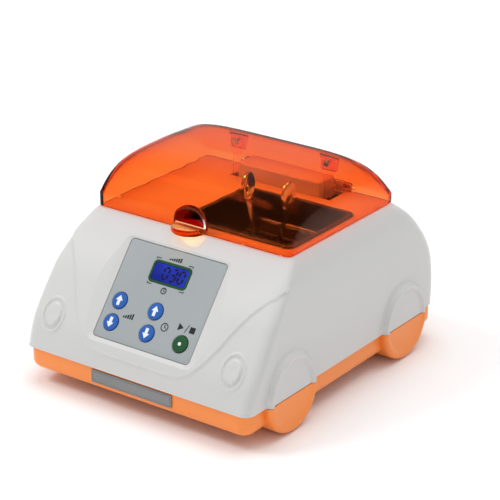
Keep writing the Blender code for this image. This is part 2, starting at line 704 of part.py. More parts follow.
def make_motor_plate():
    plate = place("motor_plate", box(-80, 70, -34, 36.4, 24.2, 26.7), "cast_metal")
    for low in (-62, -22):
        add(plate, box(low, low + 5, -20, 22.4, 25, 54))
        cut(plate, rod("X", (AXIS_Y, AXIS_Z), MOTOR_RADIUS + GAP, low - 1, low + 6, 32))
    for number, (x, y) in enumerate(damper_places(), 1):
        profile = [(0, 6.5), (3, 5.4), (6.0, 6.5)]
        place(f"rubber_damper_{number}", turned(profile, "Z", steps=16), "rubber", None, (x, y, 17.9))
        cut(plate, rod("Z", (x, y), 2.0, 20, 30, 12))


# Fork


def make_fork():
    pivot = frame_at("fork_pivot", (FORK_X, AXIS_Y, AXIS_Z))
    ring = rod("X", (0, 0), RING_RADIUS, -RING_HALF, RING_HALF, 36)
    rocker = place("fork_rocker", ring, "nylon_white", pivot)
    add(rocker, box(-5, 5, -5, 5, 11, 30), box(-8.9, 8.9, -5, 5, 23.5, 30.6), box(-4, 4, -4, 4, -24, -11))
    cut(rocker, rod("X", (0, 0), RING_BORE, -10, 10, 36))
    cut(rocker, rod("X", (0, PRONG_SCREW_Z), 1.5, -12, 12, 12))
    for side in (-1, 1):
        name = "right" if side > 0 else "left"
        strip = [(9.2, 22.0), (11.0, 22.0), (11.0, 40.0), (HEAD_X + 0.9, 66.0), (HEAD_X + 0.9, 68.0),
                 (HEAD_X - 0.9, 68.0), (HEAD_X - 0.9, 66.4), (9.2, 40.4)]
        outline = [(side * x, z) for x, z in strip]
        prong = place(f"fork_prong_{name}", prism(outline, "Y", -3.2, 3.2), "steel", pivot)
        faces = sorted((side * (HEAD_X - 1.3), side * (HEAD_X + 1.3)))
        add(prong, oval((0, HEAD_Z), 7.3, 10.2, "X", *faces, 28))
        cut(prong, rod("X", (0, HEAD_Z), 2.9, *sorted((side * 14, side * 22)), 20),
            rod("X", (0, PRONG_SCREW_Z), 1.5, *sorted((side * 8, side * 14)), 12))
        shank = rod("X", (0, PRONG_SCREW_Z), 1.1, *sorted((side * 4, side * 12)), 12)
        screw = place(f"prong_screw_{name}", shank, "steel", pivot)
        add(screw, rod("X", (0, PRONG_SCREW_Z), 2.3, *sorted((side * 11.3, side * 12.7)), 16))


def make_restraint_spring():
    """A coil spring as a tube along a helix, with its ends closed."""
    turns, radius, wire, low, high = 4, 4.0, 0.6, 27.7, 34.9
    steps, sides = 10 * turns, 5
    rings = []
    for step in range(steps + 1):
        angle = 2 * math.pi * turns * step / steps
        z = low + (high - low) * step / steps
        rings.append([((radius + wire * math.cos(t)) * math.cos(angle),
                       (radius + wire * math.cos(t)) * math.sin(angle), z + wire * math.sin(t))
                      for t in (2 * math.pi * side / sides for side in range(sides))])
    place("restraint_spring", loft(rings), "steel", None, (FORK_X, AXIS_Y, 0))


# Electrics


def make_transformer():
    body = place("transformer", box(-23, 23, -11, 11, 0, 38), "cast_metal", None, (43, 80, BASE_FLOOR + GAP))
    add(body, box(-15, 15, -19, 19, 7, 31), box(-30, 30, -8, 8, 0, 2))


def make_power_board():
    board = place("power_board", box(-36, 36, -20, 20, 0, 1.6), "board_green", None, (-28, 79, 18.0))
    add(board, rod("Z", (-24, -10), 6, 1, 20, 20), rod("Z", (-9, -10), 5, 1, 16, 20),
        box(4, 20, -16, -2, 1, 15), box(24, 32, -18, 8, 1, 22), box(-30, -6, 6, 16, 1, 10))
    for x in (-33, 33):
        for y in (-17, 17):
            add(board, rod("Z", (x, y), 2.2, -18.0 + BASE_FLOOR + GAP, 1, 10))


def make_rear_panel():
    y = REAR_PLATE_Y
    plate = place("rear_plate", box(-67, 27, y - 2, y, 32.5, 68.5), "black_plastic")
    cut(plate, box(INLET_X - 14, INLET_X + 14, 100, 120, REAR_Z - 10.2, REAR_Z + 10.2),
        box(SWITCH_X - 7.7, SWITCH_X + 7.7, 100, 120, REAR_Z - 10.2, REAR_Z + 10.2),
        rod("Y", (FUSE_X, REAR_Z), 5.6, 100, 120, 24))
    for x in REAR_SCREW_XS:
        cut(plate, rod("Y", (x, REAR_Z), 1.5, 100, 120, 12))
    inlet_at = (INLET_X, y + GAP, REAR_Z)
    face = prism(rounded(-15.5, 15.5, -12, 12, 2), "Y", 0, 2.2)
    inlet = place("mains_inlet", face, "black_plastic", None, inlet_at)
    add(inlet, box(-13.6, 13.6, -24, 1, -9.8, 9.8))
    socket = [(-12, -8), (12, -8), (12, 3.8), (8, 8), (-8, 8), (-12, 3.8)]
    cut(inlet, prism(socket, "Y", -17, 5))
    for x, z in ((-7, -3), (0, -3), (7, -3)):
        add(inlet, box(x - 1, x + 1, -18, -2, z - 2, z + 2))
    fuse = place("fuse_holder", turned([(-22, 5.2), (0, 5.2)], "Y", steps=24), "black_plastic", None,
                 (FUSE_X, y + GAP, REAR_Z))
    add(fuse, turned([(-0.01, 7.6), (1.2, 7.6), (1.8, 5.6), (3.4, 5.2)], "Y", steps=24))
    cut(fuse, box(-4.2, 4.2, 2.4, 5, -0.7, 0.7))
    housing = place("switch_housing", box(-8.6, 8.6, 0, 1.4, -11.6, 11.6), "black_plastic", None,
                    (SWITCH_X, y + GAP, REAR_Z))
    add(housing, box(-7.4, 7.4, -16, 1, -9.9, 9.9))
    cut(housing, box(-5.8, 5.8, -6.2, 5, -9.1, 9.1))
    rocker = [(1.7, -8.2), (0.7, 0.0), (1.7, 8.2), (-3.5, 7.0), (-3.5, -7.0)]
    place("power_rocker", prism(rocker, "X", -5.4, 5.4), "black_plastic", None,
          (SWITCH_X, y + GAP + 0.6, REAR_Z), -ROCKER_THROW)
    for number, x in enumerate(REAR_SCREW_XS, 1):
        shank = rod("Y", (0, 0), 1.2, -8, 0.5, 12)
        screw = place(f"rear_screw_{number}", shank, "steel", None, (x, 116.6, REAR_Z))
        add(screw, turned([(0, 2.8), (0.9, 2.8), (1.5, 2.0)], "Y", steps=20))


def main():
    clear_scene()
    make_upper_shell()
    make_base_shell()
    make_feet_and_case_screws()
    make_name_plate()
    make_panel()
    make_lid()
    make_interlock_switch()
    make_tray()
    make_motor_line()
    make_motor_plate()
    make_fork()
    make_restraint_spring()
    make_transformer()
    make_power_board()
    make_rear_panel()


main()
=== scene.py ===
"""Looks of the dental capsule mixer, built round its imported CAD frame.

Lengths are in millimetres unless noted.
"""

import json
import math

import bmesh
import bpy
import numpy as np
from mathutils import Matrix, Vector


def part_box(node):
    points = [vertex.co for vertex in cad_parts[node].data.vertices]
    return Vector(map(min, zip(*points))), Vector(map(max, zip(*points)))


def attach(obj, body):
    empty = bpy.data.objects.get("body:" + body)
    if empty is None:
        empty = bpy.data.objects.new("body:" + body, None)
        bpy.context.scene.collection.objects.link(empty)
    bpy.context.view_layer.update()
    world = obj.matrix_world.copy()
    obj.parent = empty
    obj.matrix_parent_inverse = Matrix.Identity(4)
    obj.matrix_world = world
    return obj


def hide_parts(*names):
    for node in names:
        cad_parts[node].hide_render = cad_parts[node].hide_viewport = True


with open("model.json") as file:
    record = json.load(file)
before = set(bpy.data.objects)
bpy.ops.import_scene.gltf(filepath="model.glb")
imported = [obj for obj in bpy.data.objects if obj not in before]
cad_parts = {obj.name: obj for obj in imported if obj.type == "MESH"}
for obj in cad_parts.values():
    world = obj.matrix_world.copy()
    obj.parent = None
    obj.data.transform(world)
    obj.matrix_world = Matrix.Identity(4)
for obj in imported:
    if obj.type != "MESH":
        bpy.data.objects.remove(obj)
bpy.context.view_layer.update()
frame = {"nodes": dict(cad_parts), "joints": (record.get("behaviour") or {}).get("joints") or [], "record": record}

MM = 0.001
GAP = 0.3


def span(node):
    """A CAD node's box in millimetres: its low corner and its high corner."""
    low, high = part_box(node)
    return low / MM, high / MM


# Casing: height, half width, front edge and rear edge of each station.
STATIONS = (
    (27.6, 97.8, -118.3, 118.3),
    (45.0, 98.2, -111.8, 118.2),
    (62.0, 97.5, -101.4, 117.3),
    (72.0, 96.8, -94.6, 115.0),
    (81.0, 95.9, -88.2, 111.0),
    (90.0, 94.2, -80.0, 105.4),
    (100.0, 91.9, -69.2, 97.8),
    (107.0, 89.2, -62.0, 90.2),
    (112.0, 86.5, -56.6, 83.6),
    (115.4, 83.6, -52.6, 79.3),
)
SEAM = STATIONS[0][0]
DECK = STATIONS[-1][0]
SHELL_WALL = 2.5
DECK_WALL = 2.8
FRONT_CORNER = 8.0
REAR_CORNER = 12.0
WHEEL_FACE = span("base_shell")[1].x
WHEEL_RADIUS = 28.0
WHEEL_Z = 28.5
WHEEL_YS = (-70.5, 71.0)
ARCH_HEIGHT = 31.0
HEADLIGHT_X = 78.0
HEADLIGHT_Z = 52.5
# The bonnet's edge line on one side, as half width and height.
BONNET_LINE = (
    (0.0, 38.0), (22.0, 38.2), (35.0, 39.2), (43.5, 42.2), (49.5, 47.4), (56.0, 54.5),
    (61.8, 62.8), (68.2, 73.4), (75.6, 84.0), (84.0, 92.6), (92.6, 99.2),
)

# Lid
LID_BOTTOM = DECK + GAP
LID_HALF_WIDTH = 83.1
LID_FRONT = -51.3
LID_REAR = 77.9
LID_WALL = 2.2
SCOOP_RADIUS = 14.2
SCOOP_AT = Vector((0.0, LID_FRONT - 5.0, LID_BOTTOM + 4.4))
LID_RIM = 3.5
# The crest from front to rear, as a fraction of the lid's length and the height above its foot.
LID_CREST = (
    (0.0, 12.1), (0.02, 17.5), (0.05, 24.9), (0.1, 32.4), (0.16, 36.9), (0.24, 39.4), (0.35, 40.6),
    (0.5, 41.0), (0.65, 40.3), (0.75, 39.6), (0.83, 35.8), (0.9, 28.4), (0.96, 17.5), (1.0, 7.1),
)
# Exponents of the rounded shape: across the lid, up its sides, and round its corners seen from above.
DOME_ACROSS, DOME_UP, LID_CORNER = 5.05, 4.37, 40
HINGE_Y, HINGE_Z, HINGE_X = 77.3, 119.0, 38.0
TONGUE_X = 39.9

# Chamber and fork
TRAY_LOW, TRAY_HIGH = span("chamber_tray")
TRAY_FLOOR = 95.4
FORK = Vector(frame["joints"][[j["name"] for j in frame["joints"]].index("fork_swing")]["pos_m"]) / MM
HEAD_X = 17.2
HEAD_Z = 74.7

# Keypad plane: X right, Y up the slope, Z outwards.
PANEL_FOOT = Vector((0.0, -109.9, 48.1))
PANEL_PITCH = 51.1
PANEL_LENGTH = 73.1
PANEL_WIDTH = 83.0
PANEL_TOP = -0.8
PANEL_THICK = 1.6
BED_TOP = PANEL_TOP - PANEL_THICK - GAP
PRINT_LOW = PANEL_TOP + 0.02
PRINT_TOP = PANEL_TOP + 0.08
BUTTON_RADIUS = 5.9
BUTTON_HOLE = 6.3
BUTTONS = {
    "speed_up": (-31.0, 28.2),
    "speed_down": (-31.0, 12.0),
    "timer_up": (0.4, 28.2),
    "timer_down": (0.4, 12.0),
    "start_stop": (29.3, 12.0),
}
DISPLAY = Vector((0.0, 55.4))
DISPLAY_SIZE = (32.6, 16.0)

REAR_Z = 51.0
REAR_SCREW_XS = (-64.0, 24.0)


# Camera, floor and light


def make_camera():
    target = Vector((0.0, 0.0181, 0.0778))
    azimuth, elevation, distance = math.radians(36.1), math.radians(22.74), 1.433
    back = Vector((math.sin(azimuth) * math.cos(elevation), -math.cos(azimuth) * math.cos(elevation),
                   math.sin(elevation)))
    camera = bpy.data.objects.new("camera", bpy.data.cameras.new("camera"))
    bpy.context.scene.collection.objects.link(camera)
    camera.location = target + back * distance
    camera.rotation_mode = "QUATERNION"
    camera.rotation_quaternion = (-back).to_track_quat("-Z", "Y")
    camera.data.sensor_width = 36.0
    camera.data.lens = 143.2
    camera.data.clip_start = 0.05
    bpy.context.scene.camera = camera


def area_light(name, place, aim, size, power, colour=(1, 1, 1)):
    lamp = bpy.data.lights.new(name, "AREA")
    lamp.shape = "DISK"
    lamp.size = size
    lamp.energy = power
    lamp.color = colour
    obj = bpy.data.objects.new(name, lamp)
    bpy.context.scene.collection.objects.link(obj)
    obj.location = place
    obj.rotation_mode = "QUATERNION"
    obj.rotation_quaternion = (Vector(aim) - Vector(place)).to_track_quat("-Z", "Y")
    obj.visible_glossy = False


def make_sky():
    """An even pale surround that is brighter overhead and dimmer towards the horizon."""
    world = bpy.data.worlds.new("studio")
    world.use_nodes = True
    tree = world.node_tree
    backdrop = tree.nodes["Background"]
    backdrop.inputs["Strength"].default_value = 0.68
    place = tree.nodes.new("ShaderNodeTexCoord")
    split = tree.nodes.new("ShaderNodeSeparateXYZ")
    climb = tree.nodes.new("ShaderNodeMapRange")
    climb.inputs["From Min"].default_value = 0.0
    climb.inputs["From Max"].default_value = 0.9
    climb.inputs["To Min"].default_value = 0.66
    climb.inputs["To Max"].default_value = 1.1
    tree.links.new(place.outputs["Generated"], split.inputs["Vector"])
    tree.links.new(split.outputs["Z"], climb.inputs["Value"])
    tree.links.new(climb.outputs["Result"], backdrop.inputs["Color"])
    return world


def make_studio():
    scene = bpy.context.scene
    scene.view_settings.view_transform = "Standard"
    scene.world = make_sky()
    area_light("key", (-0.95, -0.75, 1.5), (0, 0, 0.06), 0.7, 11.4)
    area_light("top", (0.1, 0.5, 2.2), (0, 0, 0.1), 2.0, 23.8)
    mesh = bpy.data.meshes.new("floor")
    reach = 6.0
    mesh.from_pydata([(-reach, -reach, 0), (reach, -reach, 0), (reach, reach, 0), (-reach, reach, 0)], [],
                     [(0, 1, 2, 3)])
    floor = bpy.data.objects.new("floor", mesh)
    bpy.context.scene.collection.objects.link(floor)
    paint = bpy.data.materials.new("floor_paint")
    paint.use_nodes = True
    shader = paint.node_tree.nodes["Principled BSDF"]
    shader.inputs["Base Color"].default_value = (0.95, 0.95, 0.95, 1)
    shader.inputs["Roughness"].default_value = 0.7
    mesh.materials.append(paint)


# Materials


class Paint:
    """A Principled material under construction, with object coordinates in metres."""

    def __init__(self, name):
        self.material = bpy.data.materials.new(name)
        self.material.use_nodes = True
        self.tree = self.material.node_tree
        self.shader = self.tree.nodes["Principled BSDF"]
        self.place = self.tree.nodes.new("ShaderNodeTexCoord").outputs["Object"]

    def set(self, **values):
        for key, value in values.items():
            socket = self.shader.inputs[key.replace("_", " ")]
            socket.default_value = (*value, 1.0) if isinstance(value, tuple) else value
        return self

    def noise(self, per_metre, detail=3.0, roughness=0.55, stretch=(1, 1, 1), distortion=0.0):
        """Noise with this many features a metre."""
        mapping = self.tree.nodes.new("ShaderNodeMapping")
        mapping.inputs["Scale"].default_value = stretch
        self.tree.links.new(self.place, mapping.inputs["Vector"])
        node = self.tree.nodes.new("ShaderNodeTexNoise")
        node.inputs["Scale"].default_value = per_metre
        node.inputs["Detail"].default_value = detail
        node.inputs["Roughness"].default_value = roughness
        node.inputs["Distortion"].default_value = distortion
        self.tree.links.new(mapping.outputs["Vector"], node.inputs["Vector"])
        return node.outputs["Fac"]

    def ranged(self, source, low, high, start=0.3, stop=0.7):
        node = self.tree.nodes.new("ShaderNodeMapRange")
        node.inputs["From Min"].default_value = start
        node.inputs["From Max"].default_value = stop
        node.inputs["To Min"].default_value = low
        node.inputs["To Max"].default_value = high
        self.tree.links.new(source, node.inputs["Value"])
        return node.outputs["Result"]

    def mix(self, factor, low, high):
        node = self.tree.nodes.new("ShaderNodeMix")
        node.data_type = "RGBA"
        self.tree.links.new(factor, node.inputs["Factor"])
        colours = [socket for socket in node.inputs if socket.type == "RGBA"]
        colours[0].default_value = (*low, 1.0)
        colours[1].default_value = (*high, 1.0)
        return [socket for socket in node.outputs if socket.type == "RGBA"][0]

    def colour_from(self, source, low, high, start=0.3, stop=0.7):
        self.tree.links.new(self.mix(self.ranged(source, 0.0, 1.0, start, stop), low, high),
                            self.shader.inputs["Base Color"])
        return self

    def roughness_from(self, source, low, high, start=0.3, stop=0.7):
        self.tree.links.new(self.ranged(source, low, high, start, stop), self.shader.inputs["Roughness"])
        return self

    def bump(self, source, depth_mm, strength=1.0):
        """Adds one layer of relief under those already there."""
        node = self.tree.nodes.new("ShaderNodeBump")
        node.inputs["Strength"].default_value = strength
        node.inputs["Distance"].default_value = depth_mm * MM
        self.tree.links.new(source, node.inputs["Height"])
        socket = self.shader.inputs["Normal"]
        if socket.is_linked:
            self.tree.links.new(socket.links[0].from_socket, node.inputs["Normal"])
        self.tree.links.new(node.outputs["Normal"], socket)
        return self


def shade(colour, factor):
    return tuple(min(value * factor, 1.0) for value in colour)


def moulded(name, colour, roughness, grain=1400.0, depth=0.010, coat=0.0, spread=0.04):
    """Injection-moulded plastic: a fine skin, slow flow marks and a slightly uneven gloss."""
    paint = Paint(name)
    paint.set(IOR=1.5, Coat_Weight=coat, Coat_Roughness=0.12)
    slow = paint.noise(14.0, 2.0)
    paint.colour_from(slow, shade(colour, 1 - spread), shade(colour, 1 + spread * 0.6))
    paint.roughness_from(paint.noise(35.0, 2.0), roughness - 0.012, roughness + 0.012)
    paint.bump(paint.noise(grain, 2.0), depth, 0.3)
    paint.bump(slow, 0.03, 0.1)
    return paint.material


def metal(name, colour, roughness, brushed=None, depth=0.01):
    """Metal with fine scratches, drawn out along one axis when it is brushed."""
    paint = Paint(name)
    paint.set(Metallic=1.0)
    stretch = (1, 1, 1) if brushed is None else brushed
    lines = paint.noise(900.0, 4.0, 0.6, stretch)
    paint.colour_from(paint.noise(70.0, 3.0), shade(colour, 0.86), shade(colour, 1.06))
    paint.roughness_from(lines, roughness * 0.7, roughness * 1.35)
    paint.bump(lines, depth, 0.5)
    return paint.material


def tinted(name, density, index, cast=(0.97, 0.52, 0.20)):
    """Clear orange acrylic, tinted through its thickness, that lets lamps reach what is under it."""
    paint = Paint(name)
    paint.set(Base_Color=(1.0, 0.90, 0.78), Transmission_Weight=1.0, IOR=index, Specular_IOR_Level=0.3,
              Specular_Tint=(1.0, 0.42, 0.14))
    paint.roughness_from(paint.noise(40.0, 4.0), 0.012, 0.045)
    paint.bump(paint.noise(22.0, 1.0), 0.05, 0.12)
    tree = paint.tree
    output = tree.nodes["Material Output"]
    absorb = tree.nodes.new("ShaderNodeVolumeAbsorption")
    absorb.inputs["Color"].default_value = (0.972, 0.55, 0.10, 1)
    absorb.inputs["Density"].default_value = density
    tree.links.new(absorb.outputs["Volume"], output.inputs["Volume"])
    ray = tree.nodes.new("ShaderNodeLightPath")
    through = tree.nodes.new("ShaderNodeBsdfTransparent")
    through.inputs["Color"].default_value = (*cast, 1)
    blend = tree.nodes.new("ShaderNodeMixShader")
    tree.links.new(ray.outputs["Is Shadow Ray"], blend.inputs["Fac"])
    tree.links.new(paint.shader.outputs["BSDF"], blend.inputs[1])
    tree.links.new(through.outputs["BSDF"], blend.inputs[2])
    tree.links.new(blend.outputs["Shader"], output.inputs["Surface"])
    return paint.material


def rubbery(name, colour):
    paint = Paint(name)
    paint.set(IOR=1.45)
    fine = paint.noise(2200.0, 2.0)
    paint.colour_from(paint.noise(90.0, 4.0), shade(colour, 0.8), shade(colour, 1.5))
    paint.roughness_from(fine, 0.62, 0.85)
    paint.bump(fine, 0.02, 0.6)
    return paint.material


def display_face():
    """The lit display: deep blue that brightens towards one lower corner."""
    paint = Paint("display_face")
    paint.set(IOR=1.3, Specular_IOR_Level=0.15, Emission_Strength=0.16)
    cloud = paint.noise(38.0, 2.0)
    paint.colour_from(cloud, (0.006, 0.010, 0.13), (0.02, 0.035, 0.34))
    paint.tree.links.new(paint.mix(paint.ranged(cloud, 0, 1), (0.008, 0.012, 0.30), (0.02, 0.05, 0.62)),
                         paint.shader.inputs["Emission Color"])
    paint.roughness_from(paint.noise(300.0, 2.0), 0.12, 0.22)
    return paint.material


def board():
    """Solder mask with copper tracks showing faintly through it."""
    paint = Paint("solder_mask")
    paint.set(IOR=1.5, Coat_Weight=0.4, Coat_Roughness=0.2)
    tracks = paint.noise(260.0, 0.0, 0.5, (1, 0.25, 1))
    paint.colour_from(tracks, (0.012, 0.10, 0.035), (0.03, 0.20, 0.07), 0.48, 0.54)
    paint.roughness_from(tracks, 0.35, 0.5)
    paint.bump(tracks, 0.03, 0.5)
    return paint.material


def make_materials():
    return {
        "shell_white": moulded("shell_white", (0.612, 0.612, 0.603), 0.34, depth=0.002, coat=0.2,
                               spread=0.008),
        "base_orange": moulded("base_orange", (0.96, 0.268, 0.04), 0.36, depth=0.003, coat=0.1, spread=0.03),
        "lid_orange": tinted("lid_acrylic", 600.0, 1.22),
        "tab_orange": tinted("tab_acrylic", 150.0, 1.15, (0.995, 0.86, 0.66)),
        "tongue_orange": tinted("tongue_acrylic", 45.0, 1.05, (0.99, 0.9, 0.8)),
        "tray_black": moulded("tray_black", (0.010, 0.009, 0.009), 0.14, depth=0.004, coat=0.6, spread=0.2),
        "panel_grey": moulded("panel_grey", (0.345, 0.372, 0.382), 0.46, grain=2600.0, depth=0.012,
                              spread=0.03),
        "button_blue": moulded("button_blue", (0.004, 0.095, 0.42), 0.33, coat=0.3),
        "button_green": moulded("button_green", (0.003, 0.07, 0.015), 0.34),
        "display_blue": display_face(),
        "board_green": board(),
        "rubber": rubbery("rubber", (0.018, 0.018, 0.019)),
        "steel": metal("steel", (0.60, 0.60, 0.62), 0.28),
        "polished_steel": metal("polished_steel", (0.78, 0.78, 0.80), 0.10, depth=0.004),
        "cast_metal": metal("cast_metal", (0.42, 0.43, 0.45), 0.48, depth=0.05),
        "zinc_steel": metal("zinc_steel", (0.55, 0.56, 0.58), 0.32, (1, 8, 8)),
        "transformer_core": moulded("transformer_core", (0.035, 0.032, 0.030), 0.45, depth=0.03, spread=0.3),
        "nylon_white": moulded("nylon_white", (0.74, 0.72, 0.66), 0.42, spread=0.03),
        "black_plastic": moulded("black_plastic", (0.018, 0.018, 0.020), 0.40, grain=1800.0, depth=0.02,
                                 spread=0.2),
        "print_dark": moulded("print_dark", (0.012, 0.012, 0.015), 0.6, spread=0.2),
        "display_ink": moulded("display_ink", (0.001, 0.001, 0.006), 0.9, spread=0.2),
        "plate_grey": moulded("plate_grey", (0.22, 0.225, 0.23), 0.42, grain=2600.0, depth=0.01, spread=0.05),
        "print_white": moulded("print_white", (0.80, 0.82, 0.84), 0.35, spread=0.03),
    }


# Outlines and solids


def smooth(table, at):
    """Monotone cubic interpolation in rows whose first column is the key."""
    rows = np.array(table, float)
    keys, values = rows[:, 0], rows[:, 1:]
    step = np.diff(keys)[:, None]
    secant = np.diff(values, axis=0) / step
    slope = np.zeros_like(values)
    slope[0], slope[-1] = secant[0], secant[-1]
    product = secant[:-1] * secant[1:]
    weight = secant[:-1] + secant[1:]
    inner = np.where(product > 0, 2 * product / np.where(weight == 0, 1, weight), 0)
    slope[1:-1] = inner
    i = int(np.clip(np.searchsorted(keys, at) - 1, 0, len(keys) - 2))
    h = keys[i + 1] - keys[i]
    t = (at - keys[i]) / h
    a, b = values[i], values[i + 1]
    return (a * (2 * t ** 3 - 3 * t ** 2 + 1) + b * (3 * t ** 2 - 2 * t ** 3)
            + h * slope[i] * (t ** 3 - 2 * t ** 2 + t) + h * slope[i + 1] * (t ** 3 - t ** 2))


def arc(centre, radius, start, stop, steps):
    points = []
    for step in range(steps + 1):
        angle = math.radians(start + (stop - start) * step / steps)
        points.append((centre[0] + radius * math.cos(angle), centre[1] + radius * math.sin(angle)))
    return points


def rounded(x0, x1, y0, y1, front, rear=None, steps=8):
    """A rectangle with rounded corners, the two at low Y first."""
    rear = front if rear is None else rear
    outline = arc((x0 + front, y0 + front), front, 180, 270, steps)
    outline += arc((x1 - front, y0 + front), front, 270, 360, steps)
    outline += arc((x1 - rear, y1 - rear), rear, 0, 90, steps)
    outline += arc((x0 + rear, y1 - rear), rear, 90, 180, steps)
    return outline


def along(axis, a, b, c):
    return {"X": (c, a, b), "Y": (a, c, b), "Z": (a, b, c)}[axis]


def loft(rings, closed=False):
    """A solid through rings of points: with flat ends, or closed on itself."""
    mesh = bmesh.new()
    loops = [[mesh.verts.new(point) for point in ring] for ring in rings]
    count = len(loops[0])
    pairs = list(zip(loops, loops[1:])) + ([(loops[-1], loops[0])] if closed else [])
    for low, high in pairs:
        for i in range(count):
            j = (i + 1) % count
            mesh.faces.new((low[i], low[j], high[j], high[i]))
    if not closed:
        mesh.faces.new(loops[0][::-1])
        mesh.faces.new(loops[-1])
    return mesh


def prism(outline, axis, low, high):
    return loft([[along(axis, a, b, at) for a, b in outline] for at in (low, high)])


def box(x0, x1, y0, y1, z0, z1):
    return prism([(x0, y0), (x1, y0), (x1, y1), (x0, y1)], "Z", z0, z1)


def circle(centre, radius, steps):
    return arc(centre, radius, 0, 360 - 360 / steps, steps - 1)


def turned(profile, axis, centre=(0.0, 0.0), steps=48):
    return loft([[along(axis, a, b, at) for a, b in circle(centre, radius, steps)] for at, radius in profile])


def rod(axis, centre, radius, low, high, steps=32):
    return turned([(low, radius), (high, radius)], axis, centre, steps)


def softened(outline_of, axis, low, high, edge, steps=3):
    """A prism whose end edges are rounded. outline_of(inset) gives its outline drawn in."""
    rings = []
    for end, inward in ((low, 1), (high, -1)):
        part = []
        for step in range(steps + 1):
            angle = math.radians(90 * step / steps)
            part.append((end + inward * edge * (1 - math.sin(angle)), edge * (1 - math.cos(angle))))
        rings += part if inward < 0 else part[::-1]
    return loft([[along(axis, a, b, at) for a, b in outline_of(inset)] for at, inset in rings])


def shifted(solid, offset):
    bmesh.ops.translate(solid, vec=offset, verts=solid.verts)
    return solid


def on_panel(solid):
    """Turns a solid from the keypad's plane into the world."""
    turn = Matrix.Translation(PANEL_FOOT) @ Matrix.Rotation(math.radians(PANEL_PITCH), 4, "X")
    bmesh.ops.transform(solid, matrix=turn, verts=solid.verts)
    return solid


# Objects


def place(name, solid, material, sharp=32.0):
    """One object in metres from a solid in millimetres."""
    bmesh.ops.recalc_face_normals(solid, faces=solid.faces)
    bmesh.ops.scale(solid, vec=(MM, MM, MM), verts=solid.verts)
    mesh = bpy.data.meshes.new(name)
    solid.to_mesh(mesh)
    solid.free()
    if material is not None:
        mesh.materials.append(material)
    obj = bpy.data.objects.new(name, mesh)
    bpy.context.scene.collection.objects.link(obj)
    smooth_shade(mesh, sharp)
    return obj


def smooth_shade(mesh, sharp=32.0):
    mesh.shade_smooth()
    mesh.set_sharp_from_angle(angle=math.radians(sharp))


def combine(obj, operation, *solids):
    """Adds solids to the object or cuts them away, and keeps the result in its mesh."""
    for solid in solids:
        helper = place("helper", solid, obj.data.materials[0])
        modifier = obj.modifiers.new("combine", "BOOLEAN")
        modifier.operation = operation
        modifier.solver = "MANIFOLD"
        modifier.object = helper
        graph = bpy.context.evaluated_depsgraph_get()
        made = bpy.data.meshes.new_from_object(obj.evaluated_get(graph))
        obj.modifiers.clear()
        spent = obj.data
        obj.data = made
        bpy.data.meshes.remove(spent)
        bpy.data.objects.remove(helper, do_unlink=True)
    smooth_shade(obj.data)


def add(obj, *solids):
    combine(obj, "UNION", *solids)


def cut(obj, *solids):
    combine(obj, "DIFFERENCE", *solids)


def solid_of(obj):
    """Takes an object back to a solid in millimetres."""
    solid = bmesh.new()
    solid.from_mesh(obj.data)
    bmesh.ops.scale(solid, vec=(1 / MM, 1 / MM, 1 / MM), verts=solid.verts)
    bpy.data.objects.remove(obj, do_unlink=True)
    return solid


def join_pieces(name, solids, material):
    """One object from separate solids that don't touch."""
    whole = bmesh.new()
    for solid in solids:
        bmesh.ops.recalc_face_normals(solid, faces=solid.faces)
        mesh = bpy.data.meshes.new("part")
        solid.to_mesh(mesh)
        solid.free()
        whole.from_mesh(mesh)
        bpy.data.meshes.remove(mesh)
    bmesh.ops.scale(whole, vec=(MM, MM, MM), verts=whole.verts)
    mesh = bpy.data.meshes.new(name)
    whole.to_mesh(mesh)
    whole.free()
    mesh.materials.append(material)
    obj = bpy.data.objects.new(name, mesh)
    bpy.context.scene.collection.objects.link(obj)
    smooth_shade(mesh)
    return obj


def finish_piece(obj, body, slot, *nodes):
    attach(obj, body)
    if nodes:
        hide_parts(*nodes)
    return obj


# Upper shell


def hull_ring(z, inset, counts=None):
    """The casing's outline at a height, drawn in; counts gives the points on its front, sides and back."""
    half, front, rear = smooth(STATIONS, min(max(z, SEAM), DECK))
    if inset:
        above = smooth(STATIONS, min(max(z, SEAM) + 5, DECK))
        below = smooth(STATIONS, max(min(z, DECK) - 5, SEAM))
        side, bow, stern = [inset * math.hypot(1, s) for s in (above - below) / 10]
    else:
        side, bow, stern = 0.0, 0.0, 0.0
    outline = rounded(-half + side, half - side, front + bow, rear - stern, max(FRONT_CORNER - inset, 2),
                      max(REAR_CORNER - inset, 2))
    if counts is None:
        return [(x, y, z) for x, y in outline]
    filled = []
    arc_points = len(outline) // 4
    for corner in range(4):
        arc_part = outline[corner * arc_points:(corner + 1) * arc_points]
        filled += arc_part
        start, stop = arc_part[-1], outline[((corner + 1) * arc_points) % len(outline)]
        steps = counts[corner]
        filled += [(start[0] + (stop[0] - start[0]) * i / steps, start[1] + (stop[1] - start[1]) * i / steps)
                   for i in range(1, steps)]
    return [(x, y, z) for x, y in filled]


def hood_levels(count):
    """Heights spaced evenly along the hood's slope."""
    heights = np.linspace(SEAM, DECK, 400)
    front = np.array([smooth(STATIONS, z)[1] for z in heights])
    run = np.concatenate([[0], np.cumsum(np.hypot(np.diff(heights), np.diff(front)))])
    return np.interp(np.linspace(0, run[-1], count), run, heights)


def bump_of(distance, width):
    """1 at the line, falling smoothly to 0 at the width."""
    part = np.clip(np.abs(distance) / width, 0, 1)
    return (1 - part * part) ** 2


def ramp(value, low, high):
    part = np.clip((value - low) / (high - low), 0, 1)
    return part * part * (3 - 2 * part)


